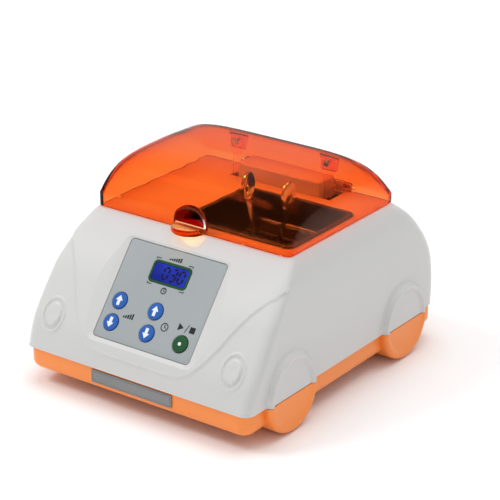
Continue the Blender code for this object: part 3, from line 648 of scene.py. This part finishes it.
def emboss(points, normals):
    """How far each point of the casing stands out, with its bonnet line and headlights."""
    x, y, z = points.T
    out = np.zeros(len(points))
    fore = (normals[:, 1] < -0.3) & (y < 0)
    knots = np.array(BONNET_LINE)
    run = np.linspace(0, 1, 90)
    places = np.linspace(0, 1, len(knots))
    route = np.array([smooth(np.column_stack([places, knots]), t) for t in run])
    line = np.array([(half, smooth(STATIONS, height)[1], height) for half, height in route])
    mirrored = np.column_stack([np.abs(x[fore]), y[fore], z[fore]])
    away = np.sqrt(((mirrored[:, None, :] - line[None]) ** 2).sum(2)).min(1)
    inside = (np.interp(mirrored[:, 0], route[:, 0], route[:, 1]) < mirrored[:, 2]) & (mirrored[:, 0] < 92.6)
    signed = np.where(inside, away, -away)
    out[fore] += 0.75 * ramp(signed, -1.5, 0.3) * (1 - ramp(signed, 3.0, 20.0)) + 0.35 * bump_of(signed, 1.9)
    at = np.array((HEADLIGHT_X, smooth(STATIONS, HEADLIGHT_Z)[1], HEADLIGHT_Z))
    slope = smooth(STATIONS, HEADLIGHT_Z + 4)[1] - smooth(STATIONS, HEADLIGHT_Z - 4)[1]
    up = np.array((0, slope, 8.0)) / math.hypot(slope, 8.0)
    across = (mirrored[:, 0] - at[0]) / 9.3
    climb = ((mirrored - at) @ up) / 12.6
    oval = np.hypot(across, climb)
    out[fore] += 0.85 * bump_of((oval - 0.97) * 10, 1.2)
    out[fore] += 1.5 * (1 - ramp(oval, 0.60, 0.74)) - 0.3 * (1 - ramp(oval, 0.0, 0.5))
    return out


def push_arches(points):
    """Raises the wheel arches on the two flanks to the wheels' face."""
    moved = points.copy()
    for wheel_y in WHEEL_YS:
        across = (points[:, 1] - wheel_y) / WHEEL_RADIUS
        climb = (points[:, 2] - SEAM) / ARCH_HEIGHT
        oval = np.hypot(across, climb)
        share = (1 - ramp(oval, 0.91, 1.0)) * (1 - 0.42 * (1 - ramp(oval, 0.76, 0.85)))
        flank = np.abs(points[:, 0]) > 90
        reach = (WHEEL_FACE - np.abs(moved[:, 0])) * share * flank
        moved[:, 0] += np.sign(points[:, 0]) * reach
    return moved


def outer_hull():
    counts = (220, 190, 60, 190)
    rings = [hull_ring(z, 0.0, counts) for z in hood_levels(136)[:-1]]
    for drop, inset in ((0.45, 0.0), (0.14, 0.12), (0.0, 0.5)):
        rings.append([(x, y, DECK - drop) for x, y, _ in hull_ring(DECK - 0.45, inset, counts)])
    solid = loft(rings)
    bmesh.ops.recalc_face_normals(solid, faces=solid.faces)
    solid.normal_update()
    points = np.array([vert.co for vert in solid.verts])
    normals = np.array([vert.normal for vert in solid.verts])
    fade = ramp(DECK - points[:, 2], 0.5, 3.0)
    moved = push_arches(points + normals * (emboss(points, normals) * fade)[:, None])
    for vert, co in zip(solid.verts, moved):
        vert.co = co
    return solid


def arch_cavity(side, wheel_y):
    outline = [(wheel_y + (WHEEL_RADIUS - 6.5) * math.cos(math.radians(9 * step)),
                SEAM - 4 + (ARCH_HEIGHT - 3) * math.sin(math.radians(9 * step))) for step in range(21)]
    return prism(outline, "X", *sorted((side * 92.0, side * (WHEEL_FACE - 2.6))))


def panel_outline(inset):
    half = PANEL_WIDTH / 2 + 0.4 - inset
    return rounded(-half, half, -0.4 + inset, PANEL_LENGTH + 0.4 - inset, max(3 - inset, 0.5))


def make_upper_shell(paints):
    shell = place("upper_shell_skin", outer_hull(), paints["shell_white"])
    shell.data.materials[0] = paints["shell_white"]

    def block(inset):
        return rounded(-36 + inset, 36 - inset, 52.5 + inset, 72.5 - inset, 2.0 - inset * 0.5)

    add(shell, softened(block, "Z", DECK - 1, 126.4, 1.2))
    for side in (-1, 1):
        ear = [(HINGE_Y - 2.9, 112.9), (HINGE_Y + 2.9, 111.6)] + arc((HINGE_Y, HINGE_Z), 3.3, 0, 180, 20)
        add(shell, prism(ear, "X", side * HINGE_X - 3, side * HINGE_X + 3))
    levels = [SEAM - 3, SEAM] + [SEAM + 8 * i for i in range(1, 11)] + [DECK - DECK_WALL]
    hollow = place("hollow", loft([hull_ring(z, SHELL_WALL) for z in levels]), paints["shell_white"])
    cut(hollow, on_panel(prism(panel_outline(-13), "Z", BED_TOP - 2.5, 25)))
    cut(shell, solid_of(hollow))
    for side in (-1, 1):
        for wheel_y in WHEEL_YS:
            cut(shell, arch_cavity(side, wheel_y))
        low, high = sorted((side * 36.3, side * 43.5))
        cut(shell, box(low, high, 53.0, 72.0, 108, 120),
            rod("X", (HINGE_Y, HINGE_Z), 1.5, side * HINGE_X - 5, side * HINGE_X + 5))
    surround = ((BED_TOP - 2.5, 3.4), (PANEL_TOP - 0.6, 3.2), (PANEL_TOP + 0.1, 2.8), (PANEL_TOP + 0.45, 2.0))
    add(shell, on_panel(loft([[(x, y, z) for x, y in panel_outline(-grow)] for z, grow in surround])))
    mouth = [(BED_TOP, 0.0), (PANEL_TOP + 0.1, 0.0), (PANEL_TOP + 0.45, 0.5), (PANEL_TOP + 0.6, 2.6),
             (PANEL_TOP + 4.6, 10.5), (25.0, 12.0)]
    cut(shell, on_panel(loft([[(x, y, z) for x, y in panel_outline(-grow)] for z, grow in mouth])))
    cut(shell, on_panel(box(-17.2, 17.2, DISPLAY.y - 9.2, DISPLAY.y + 9.2, -12, 3)))
    for x, y in BUTTONS.values():
        cut(shell, on_panel(rod("Z", (x, y), BUTTON_HOLE, -12, 3)))

    def opening(inset):
        return rounded(TRAY_LOW.x + 1.5 + inset, TRAY_HIGH.x - 1.5 - inset, TRAY_LOW.y + 1.5 + inset,
                       TRAY_HIGH.y - 1.5 - inset, 5)

    cut(shell, prism(opening(0), "Z", 108, 120))
    window = [(105, 0.0), (115.6, 0.0), (118.6, 1.4), (125, 1.4)]
    cut(shell, loft([[(x, y, z)
                      for x, z in rounded(-61.5 - grow, 21.5 + grow, 36 - grow, 66 + grow, 2.0 + grow)]
                     for y, grow in window]))
    for x in REAR_SCREW_XS:
        cut(shell, rod("Y", (x, REAR_Z), 1.7, 108, 125), rod("Y", (x, REAR_Z), 3.1, 116.2, 125))
    finish_piece(shell, "root", "shell_white", "upper_shell")


# Base shell


def make_base_shell(paints):
    half, front, rear, bottom, top = 96.0, -116.8, 116.9, 10.6, SEAM - GAP
    edge = 6.5
    rings = []
    for step in range(9):
        angle = math.radians(90 * step / 8)
        inset = edge * (1 - math.sin(angle))
        rings.append((bottom + edge * (1 - math.cos(angle)), inset))
    rings += [(top - 0.4, 0.0), (top, 0.4)]
    solid = loft([[(x, y, z) for x, y in rounded(-half + inset, half - inset, front + inset, rear - inset,
                                                  9.5 - inset, steps=12)] for z, inset in rings])
    base = place("base_shell_skin", solid, paints["base_orange"])
    for side in (-1, 1):
        for wheel_y in WHEEL_YS:
            profile = [(side * 78.0, WHEEL_RADIUS - 0.5), (side * 78.5, WHEEL_RADIUS)]
            face, radius, rim = WHEEL_FACE, WHEEL_RADIUS, 3.0
            profile += [(side * (face - rim * (1 - math.sin(a))), radius - rim * (1 - math.cos(a)))
                        for a in (math.radians(15 * i) for i in range(7))]
            profile += [(side * (face - 0.25), radius - 4.2), (side * (face - 0.85), radius - 5.6),
                        (side * (face - 1.1), radius - 7.2)]
            add(base, turned(profile, "X", (wheel_y, WHEEL_Z), 120))
    cut(base, prism(rounded(-half + 3, half - 3, front + 3, rear - 3, 6), "Z", 13.6, 40))
    for side in (-1, 1):
        for wheel_y in WHEEL_YS:
            ends = sorted((side * 81.0, side * (WHEEL_FACE - 3)))
            cut(base, rod("X", (wheel_y, WHEEL_Z), WHEEL_RADIUS - 3, *ends))
    cut(base, box(-110, 110, -125, 125, top, 70))
    for x in (-74.0, 74.0):
        for y in (-103.0, 103.0):
            add(base, rod("Z", (x, y), 6, 11.6, 23.7))
            cut(base, rod("Z", (x, y), 4, 5, 19.7), rod("Z", (x, y), 2.1, 10, 30))
    for x in (-72.0, 62.0):
        for y in (-27.5, 30.0):
            add(base, rod("Z", (x, y), 6, 11.6, 17.6))
    for slot in range(6):
        x = -22 + 8 * slot
        cut(base, prism(rounded(x, x + 3, -98, -58, 1.4), "Z", 5, 20))
    finish_piece(base, "root", "base_orange", "base_shell")


# Lid


def lid_height(x, y, half, front, rear, drop):
    across = min(abs(x) / half, 1.0)
    back = min(max((y - front) / (rear - front), 0.0), 1.0)
    crest = smooth(LID_CREST, back)[0] - drop
    rim = LID_RIM - drop * 0.2
    return rim + (crest - rim) * (1 - across ** DOME_ACROSS) ** (1 / DOME_UP)


def lid_surface(shrink, columns=96, rows=84):
    """The dome's points, drawn in by shrink, closest together at its edges."""
    half, front, rear = LID_HALF_WIDTH - shrink, LID_FRONT + shrink, LID_REAR - shrink
    middle, reach = (front + rear) / 2, (rear - front) / 2
    grid = []
    for j in range(rows + 1):
        v = -math.cos(math.pi * j / rows)
        line = []
        for i in range(columns + 1):
            u = -math.cos(math.pi * i / columns)
            biggest, smallest = max(abs(u), abs(v)), min(abs(u), abs(v))
            pull = 1.0 if biggest == 0 else (1 + (smallest / biggest) ** LID_CORNER) ** (-1 / LID_CORNER)
            x, y = u * pull * half, middle + v * pull * reach
            line.append((x, y, LID_BOTTOM + lid_height(x, y, half, front, rear, shrink)))
        grid.append(line)
    return grid


def border_of(grid):
    border = list(grid[0][:-1])
    border += [line[-1] for line in grid[:-1]]
    border += grid[-1][:0:-1]
    border += [line[0] for line in grid[:0:-1]]
    return border


def lid_dome():
    """Outer and inner surface joined by a foot with a small bead round it."""
    mesh = bmesh.new()
    feet = []
    for shrink in (0.0, LID_WALL):
        grid = [[mesh.verts.new(point) for point in line] for line in lid_surface(shrink)]
        for low, high in zip(grid, grid[1:]):
            for i in range(len(low) - 1):
                mesh.faces.new((low[i], low[i + 1], high[i + 1], high[i]))
        ring = border_of(grid)
        feet.append(wall_down(mesh, ring, 0.35 if shrink == 0 else -0.35))
    outer, inner = feet
    for i in range(len(outer)):
        j = (i + 1) % len(outer)
        mesh.faces.new((outer[i], outer[j], inner[j], inner[i]))
    return mesh


def wall_down(mesh, ring, tuck):
    """Carries the dome's border straight down to its foot and gives the foot's ring."""
    lowest = [LID_BOTTOM + 0.35, LID_BOTTOM]
    for level, pull in zip(lowest, (0.0, tuck)):
        below = []
        for vert in ring:
            scale = Vector((vert.co.x, vert.co.y - 13.3, 0)).normalized() * pull
            below.append(mesh.verts.new((vert.co.x - scale.x, vert.co.y - scale.y, level)))
        for i in range(len(ring)):
            j = (i + 1) % len(ring)
            mesh.faces.new((ring[i], ring[j], below[j], below[i]))
        ring = below
    return ring


def dome_block():
    """The whole space under the lid's outer surface."""
    mesh = bmesh.new()
    grid = [[mesh.verts.new(point) for point in line] for line in lid_surface(0.0)]
    for low, high in zip(grid, grid[1:]):
        for i in range(len(low) - 1):
            mesh.faces.new((low[i], low[i + 1], high[i + 1], high[i]))
    mesh.faces.new(wall_down(mesh, border_of(grid), 0.35))
    return mesh


def scoop_ball(radius, low):
    """The thumb scoop's ball, cut off flat at a height."""
    ball = bmesh.new()
    bmesh.ops.create_uvsphere(ball, u_segments=72, v_segments=48, radius=radius)
    shifted(ball, SCOOP_AT)
    around = list(ball.verts) + list(ball.edges) + list(ball.faces)
    bmesh.ops.bisect_plane(ball, geom=around, plane_co=(0, 0, low), plane_no=(0, 0, -1), clear_outer=True)
    bmesh.ops.holes_fill(ball, edges=[edge for edge in ball.edges if edge.is_boundary])
    return ball


def scoop_shell():
    """The part of the scoop's wall that lies inside the lid."""
    shell = place("scoop_shell", scoop_ball(SCOOP_RADIUS + 1.3, SCOOP_AT.z - 1.3), None)
    shell.data.materials.append(None)
    combine(shell, "INTERSECT", dome_block())
    return solid_of(shell)


def thumb_tab():
    """A half disc with rounded edges under the lid's front edge."""
    low, high, edge = LID_BOTTOM + 0.2, LID_BOTTOM + 4.6, 1.5

    def outline(inset):
        return arc((0, LID_FRONT - 0.15), 13.5 - inset, 0, -180, 40)

    return softened(outline, "Z", low, high, edge, 5)


def make_lid(paints):
    lid = place("lid_dome", lid_dome(), paints["lid_orange"])
    cut(lid, scoop_ball(SCOOP_RADIUS + 1.35, SCOOP_AT.z - 1.35))
    scoop = place("lid_scoop", scoop_shell(), paints["tab_orange"])
    cut(scoop, scoop_ball(SCOOP_RADIUS, SCOOP_AT.z))
    finish_piece(scoop, "lid", "lid_orange")
    tab = place("lid_tab", thumb_tab(), paints["tab_orange"])
    finish_piece(tab, "lid", "lid_orange")
    for side in (-1, 1):
        x = side * TONGUE_X
        lug = [(x - 5.5, 135.0), (x + 5.5, 135.0), (x + 8.2, 146.6), (x - 8.2, 146.6)]
        add(lid, prism(lug, "Y", 58.5, 60.7))
        cut(lid, rod("Y", (x, 141.0), 1.4, 56, 64))
        for low, high in ((30.0, 34.2), (41.8, 46.0)):
            add(lid, rod("X", (HINGE_Y, HINGE_Z), 3.3, *sorted((side * low, side * high))))
        near, far = side * HINGE_X - 3.4, side * HINGE_X + 3.4
        cut(lid, rod("X", (HINGE_Y, HINGE_Z), 3.9, near, far),
            box(near, far, HINGE_Y - 6, HINGE_Y + 6, HINGE_Z - 6, HINGE_Z),
            rod("X", (HINGE_Y, HINGE_Z), 1.5, side * HINGE_X - 12, side * HINGE_X + 12))
    finish_piece(lid, "lid", "lid_orange", "lid_shell")


# Chamber and fork


def make_tray(paints):
    x0, x1, y0, y1 = TRAY_LOW.x, TRAY_HIGH.x, TRAY_LOW.y, TRAY_HIGH.y

    def flange(inset):
        return rounded(x0 + inset, x1 - inset, y0 + inset, y1 - inset, 6 - inset * 0.5, steps=12)

    tray = place("tray_skin", softened(flange, "Z", DECK + GAP, DECK + 1.5, 0.55, 4), paints["tray_black"])

    def bowl(inset, levels):
        rings = []
        for z, lean, draw in levels:
            edge = inset + draw
            outline = rounded(x0 + edge, x1 - edge - lean, y0 + edge, y1 - edge, 6.5 - inset * 0.6, steps=12)
            rings.append([(x, y, z) for x, y in outline])
        return loft(rings)

    add(tray, bowl(1.9, [(93.0, 15.0, 0.6), (93.6, 14.6, 0.0), (96.0, 12.8, 0.0), (DECK + 1, 0.0, 0.0)]))
    fillet = 3.0
    levels = []
    for step in range(7):
        angle = math.radians(90 * step / 6)
        levels.append((TRAY_FLOOR + fillet * (1 - math.cos(angle)), 14.8 - 1.6 * step / 6,
                       fillet * (1 - math.sin(angle))))
    levels += [(DECK + 0.6, 0.2, 0.0), (DECK + 1.1, 0.0, -0.1),
               (DECK + 1.6, 0.0, -0.7), (DECK + 4, 0.0, -0.7)]
    cut(tray, bowl(3.9, levels))
    cut(tray, prism(rounded(FORK.x - 20.5, FORK.x + 20.5, FORK.y - 8, FORK.y + 8, 3), "Z", 85, 100))
    finish_piece(tray, "root", "tray_black", "chamber_tray")


def make_seal(paints):
    """A rubber gasket round the fork's slot, with a raised lip."""
    def plate(inset):
        return rounded(FORK.x - 24.5 + inset, FORK.x + 24.5 - inset, FORK.y - 12 + inset,
                       FORK.y + 12 - inset, 4 - inset)

    def lip(inset):
        return rounded(FORK.x - 19.6 + inset, FORK.x + 19.6 - inset,
                       FORK.y - 7.6 + inset, FORK.y + 7.6 - inset,
                       3 - inset)

    seal = place("seal_skin", softened(plate, "Z", TRAY_FLOOR + GAP, TRAY_FLOOR + 2.2, 0.5), paints["rubber"])
    add(seal, softened(lip, "Z", TRAY_FLOOR + 1, TRAY_FLOOR + 3.6, 0.6))
    cut(seal, prism(rounded(FORK.x - 17.6, FORK.x + 17.6, FORK.y - 5.6, FORK.y + 5.6, 2), "Z", 85, 105))
    finish_piece(seal, "root", "rubber", "slot_seal")


def head_ring(scale_y, scale_z, x, hole=False):
    """An oval slightly pointed at its foot, or the diamond of the hole in it."""
    ring = []
    steps = 48
    for step in range(steps):
        angle = 2 * math.pi * step / steps
        y, z = math.cos(angle), math.sin(angle)
        if z < 0:
            y *= 1 - 0.16 * z * z
        if hole:
            reach = (abs(y) ** 1.35 + abs(z) ** 1.35) ** (-1 / 1.35)
            y, z = y * reach, z * reach
        sink = 1.6 if hole else 0.0
        ring.append((FORK.x + x, FORK.y + y * scale_y, FORK.z + HEAD_Z + z * scale_z - sink))
    return ring


def prong_head(side):
    """A dished oval pad with a rolled rim, facing the capsule."""
    inner, outer = HEAD_X - 1.3, HEAD_X + 1.3
    rings = [head_ring(2.7, 3.6, side * (outer - 0.2), True), head_ring(6.3, 9.2, side * outer),
             head_ring(7.05, 9.95, side * (outer - 0.4)), head_ring(7.3, 10.2, side * (outer - 1.2)),
             head_ring(7.2, 10.1, side * (inner + 0.35)), head_ring(6.7, 9.6, side * inner),
             head_ring(6.0, 8.9, side * (inner + 0.25)), head_ring(4.4, 6.6, side * (inner + 0.95)),
             head_ring(2.9, 3.9, side * (inner + 1.15), True)]
    return loft(rings, closed=True)


def prong_strip(side):
    """The flat spring strip from the rocker to the head, with an eased double bend."""
    levels = [22.0 + 46.0 * step / 40 for step in range(41)]
    rings = []
    for z in levels:
        lean = 9.2 + (HEAD_X - 0.9 - 9.2) * float(ramp(np.array(z), 37.0, 69.0))
        half = 3.2 - 0.35 * float(ramp(np.array(z), 40.0, 60.0))
        outline = rounded(lean, lean + 1.8, -half, half, 0.5, steps=3)
        rings.append([(FORK.x + side * x, FORK.y + y, FORK.z + z) for x, y in outline])
    return loft(rings)


def make_prongs(paints):
    for side, name in ((-1, "left"), (1, "right")):
        prong = place(f"prong_{name}_skin", prong_strip(side), paints["polished_steel"])
        cut(prong, rod("X", (FORK.y, FORK.z + 27.0), 1.5, *sorted((FORK.x + side * 8, FORK.x + side * 14))))
        add(prong, prong_head(side))
        finish_piece(prong, "fork", "polished_steel", f"fork_prong_{name}")


# Keypad


def make_panel(paints):
    half = PANEL_WIDTH / 2

    def outline(inset):
        return rounded(-half + inset, half - inset, inset, PANEL_LENGTH - inset, 2.6 - inset)

    wide, tall = DISPLAY_SIZE[0] / 2, DISPLAY_SIZE[1] / 2

    def window(grow):
        return rounded(-wide - grow, wide + grow, DISPLAY.y - tall - grow, DISPLAY.y + tall + grow,
                       3.2 + grow)

    slab = softened(outline, "Z", PANEL_TOP - PANEL_THICK, PANEL_TOP, 0.25, 2)
    plate = place("panel_plate", on_panel(slab), paints["panel_grey"])
    cut(plate, on_panel(prism(window(GAP), "Z", -5, 3)))
    hole = [(-5, BUTTON_HOLE), (PANEL_TOP - 0.35, BUTTON_HOLE),
            (PANEL_TOP + 0.35, BUTTON_HOLE + 0.7), (3, BUTTON_HOLE + 0.7)]
    for x, y in BUTTONS.values():
        cut(plate, on_panel(turned(hole, "Z", (x, y))))
    finish_piece(plate, "root", "panel_grey", "control_panel")

    bezel = place("bezel_skin", on_panel(softened(lambda inset: window(-inset), "Z", PANEL_TOP - PANEL_THICK,
                                                  PANEL_TOP + 0.25, 0.3)), paints["button_green"])
    cut(bezel, on_panel(prism(window(-1.4), "Z", -5, 3)))
    finish_piece(bezel, "root", "button_green", "display_bezel")
    glass = place("display_skin", on_panel(prism(window(-1.4 - GAP), "Z", PANEL_TOP - 1.2, PANEL_TOP + 0.05)),
                  paints["display_blue"])
    finish_piece(glass, "root", "display_blue", "display_window")
    make_digits(paints)
    make_prints(paints)
    for name, (x, y) in BUTTONS.items():
        make_button(name, x, y, paints)


SEGMENTS = {
    "a": (0, 1, True), "b": (1, 0.5, False), "c": (1, -0.5, False), "d": (0, -1, True),
    "e": (-1, -0.5, False), "f": (-1, 0.5, False), "g": (0, 0, True),
}
DIGITS = {"0": "abcdef", "3": "abcdg", "4": "bcfg"}


def digit(text, centre, wide, tall, stroke):
    """Bars of one seven-segment figure, leaning a little."""
    bars = []
    for key in DIGITS[text]:
        across, up, flat = SEGMENTS[key]
        cx = centre[0] + across * wide / 2 + up * tall / 2 * 0.10
        cy = centre[1] + up * tall / 2
        long = (wide if flat else tall / 2) / 2 - stroke * 0.35
        a, b = (long, stroke / 2) if flat else (stroke / 2, long)
        tip = stroke / 2
        if flat:
            outline = [(cx - a, cy), (cx - a + tip, cy - b), (cx + a - tip, cy - b),
                       (cx + a, cy), (cx + a - tip, cy + b), (cx - a + tip, cy + b)]
        else:
            lean = b * 0.10
            outline = [(cx - lean, cy - b), (cx + a - lean * 0.5, cy - b + tip),
                       (cx + a + lean * 0.5, cy + b - tip), (cx + lean, cy + b),
                       (cx - a + lean * 0.5, cy + b - tip), (cx - a - lean * 0.5, cy - b + tip)]
        bars.append(on_panel(prism(outline, "Z", PANEL_TOP + 0.055, PANEL_TOP + 0.10)))
    return bars


def make_digits(paints):
    bars = []
    for i, text in enumerate("030"):
        bars += digit(text, (DISPLAY.x - 3.6 + 6.6 * i, DISPLAY.y), 4.1, 8.6, 1.35)
    figures = join_pieces("display_figures", bars, paints["display_ink"])
    finish_piece(figures, "root", "black_plastic")


def bar(x0, x1, y0, y1):
    return on_panel(prism([(x0, y0), (x1, y0), (x1, y1), (x0, y1)], "Z", PRINT_LOW, PRINT_TOP))


def ring_mark(centre, outer, inner, start=0.0, stop=360.0, steps=28):
    """A flat ring, or an arc of one."""
    edge = arc(centre, outer, start, stop, steps) + arc(centre, inner, stop, start, steps)
    if stop - start >= 360:
        corners = ((outer, PRINT_LOW), (outer, PRINT_TOP), (inner, PRINT_TOP), (inner, PRINT_LOW))
        rings = [[(a, b, z) for a, b in circle(centre, radius, steps)] for radius, z in corners]
        return on_panel(loft(rings, closed=True))
    return on_panel(prism(edge, "Z", PRINT_LOW, PRINT_TOP))


def hand(centre, angle, long, width=0.45):
    """A straight stroke from the centre."""
    turn = math.radians(angle)
    ahead, across = Vector((math.cos(turn), math.sin(turn))), Vector((-math.sin(turn), math.cos(turn)))
    middle = Vector(centre)
    corners = [middle - across * width / 2, middle + ahead * long - across * width / 2,
               middle + ahead * long + across * width / 2, middle + across * width / 2]
    return on_panel(prism([tuple(corner) for corner in corners], "Z", PRINT_LOW, PRINT_TOP))


def steps_sign(x, y, count, wide=1.25, tall=0.62):
    """Speed: a row of bars, each taller than the last."""
    pitch = wide * 1.45
    return [bar(x + pitch * i, x + pitch * i + wide, y, y + 0.6 + tall * (i + 1)) for i in range(count)]


def clock(centre, size):
    """Time: a ring with two hands."""
    hands = [hand(centre, 90, size * 0.6, 0.7), hand(centre, -25, size * 0.48, 0.65)]
    return [ring_mark(centre, size, size - 0.7)] + hands


def make_prints(paints):
    """Plain marks on the overlay: corner brackets round the display and simple signs by the buttons."""
    marks = []
    wide, tall = DISPLAY_SIZE[0] / 2, DISPLAY_SIZE[1] / 2
    for side in (-1, 1):
        for up in (-1, 1):
            x, y = side * (wide - 1.0), DISPLAY.y + up * (tall + 1.3)
            marks.append(bar(*sorted((x, x - side * 3.4)), *sorted((y, y + up * 0.55))))
            marks.append(bar(*sorted((x, x + side * 0.55)), *sorted((y + up * 0.55, y - up * 0.9))))
    marks += steps_sign(-5.4, DISPLAY.y + tall + 1.9, 6, tall=0.42)
    marks += clock((0.0, DISPLAY.y - tall - 4.0), 2.4)
    marks += steps_sign(-23.4, 17.8, 5, tall=0.72) + clock((12.2, 19.8), 3.1)
    marks.append(on_panel(prism([(22.6, 20.6), (27.0, 23.2), (22.6, 25.8)], "Z", PRINT_LOW, PRINT_TOP)))
    stroke = [(28.4, 20.2), (29.0, 20.2), (31.0, 26.2), (30.4, 26.2)]
    marks.append(on_panel(prism(stroke, "Z", PRINT_LOW, PRINT_TOP)))
    marks.append(bar(32.2, 36.6, 21.0, 25.4))
    prints = join_pieces("panel_prints", marks, paints["print_dark"])
    finish_piece(prints, "root", "black_plastic")


def make_button(name, x, y, paints):
    green = name == "start_stop"
    slot = "button_green" if green else "button_blue"
    top = 0.25
    profile = [(-8.4, 2.0), (-6.7, 2.0), (-6.7, 7.2), (-5.5, 7.2), (-5.5, BUTTON_RADIUS),
               (-0.55, BUTTON_RADIUS), (-0.3, BUTTON_RADIUS - 0.12), (-0.1, BUTTON_RADIUS - 0.45),
               (0.0, BUTTON_RADIUS - 0.9), (0.05, BUTTON_RADIUS - 2.2), (0.08, BUTTON_RADIUS - 4.4)]
    cap = place(f"{name}_cap", on_panel(turned(profile, "Z", (x, y), 64)), paints[slot])
    finish_piece(cap, f"{name}_key", slot, f"{name}_button")
    if green:
        sign = circle((x, y), 1.25, 24)
    else:
        turn = 1 if name.endswith("up") else -1
        arrow = [(-1.2, -3.6), (1.2, -3.6), (1.2, 0.1), (2.9, 0.1), (0.0, 3.8), (-2.9, 0.1), (-1.2, 0.1)]
        sign = [(x + a, y + b * turn) for a, b in arrow]
    glyph = place(f"{name}_sign", on_panel(prism(sign, "Z", top - 0.35, top)), paints["print_white"])
    finish_piece(glyph, f"{name}_key", "shell_white")


def make_name_plate(paints):
    low, high = span("name_plate")

    def outline(inset):
        return rounded(low.x + inset, high.x - inset, low.z + inset, high.z - inset, 0.8)

    plate = place("name_plate_skin", softened(outline, "Y", low.y, high.y, 0.2, 2), paints["plate_grey"])
    border = [(low.y + 0.25, 0.9), (low.y - 0.1, 0.9), (low.y - 0.1, 1.3), (low.y + 0.25, 1.3)]
    cut(plate, loft([[(x, y, z) for x, z in outline(inset)] for y, inset in border], closed=True))
    finish_piece(plate, "root", "panel_grey", "name_plate")


# CAD nodes that keep their shape


def dress(node, material, bevel=0.25):
    """Gives a CAD node its material and softly rounded edges."""
    obj = frame["nodes"][node]
    obj.data.materials.clear()
    obj.data.materials.append(material)
    obj.data.shade_smooth()
    weld = obj.modifiers.new("weld", "WELD")
    weld.merge_threshold = 0.00001
    if bevel:
        round_off = obj.modifiers.new("round_off", "BEVEL")
        round_off.width = bevel * MM
        round_off.segments = 2
        round_off.limit_method = "ANGLE"
        round_off.angle_limit = math.radians(38)
        round_off.use_clamp_overlap = True
        round_off.harden_normals = True


def dress_cad(paints):
    slots = {entry["node"]: entry["material_slot"] for entry in frame["record"]["subparts"]}
    replaced = {"upper_shell", "base_shell", "lid_shell", "chamber_tray", "slot_seal", "fork_prong_left",
                "fork_prong_right", "control_panel", "display_bezel", "display_window", "name_plate"}
    replaced |= {f"{name}_button" for name in BUTTONS}
    for node in frame["nodes"]:
        if node not in replaced:
            dress(node, paints["tongue_orange" if node.startswith("lid_tongue") else slots[node]])


def main():
    make_camera()
    make_studio()
    paints = make_materials()
    make_upper_shell(paints)
    make_base_shell(paints)
    make_lid(paints)
    make_tray(paints)
    make_seal(paints)
    make_prongs(paints)
    make_panel(paints)
    make_name_plate(paints)
    dress_cad(paints)


main()
bpy.context.view_layer.update()
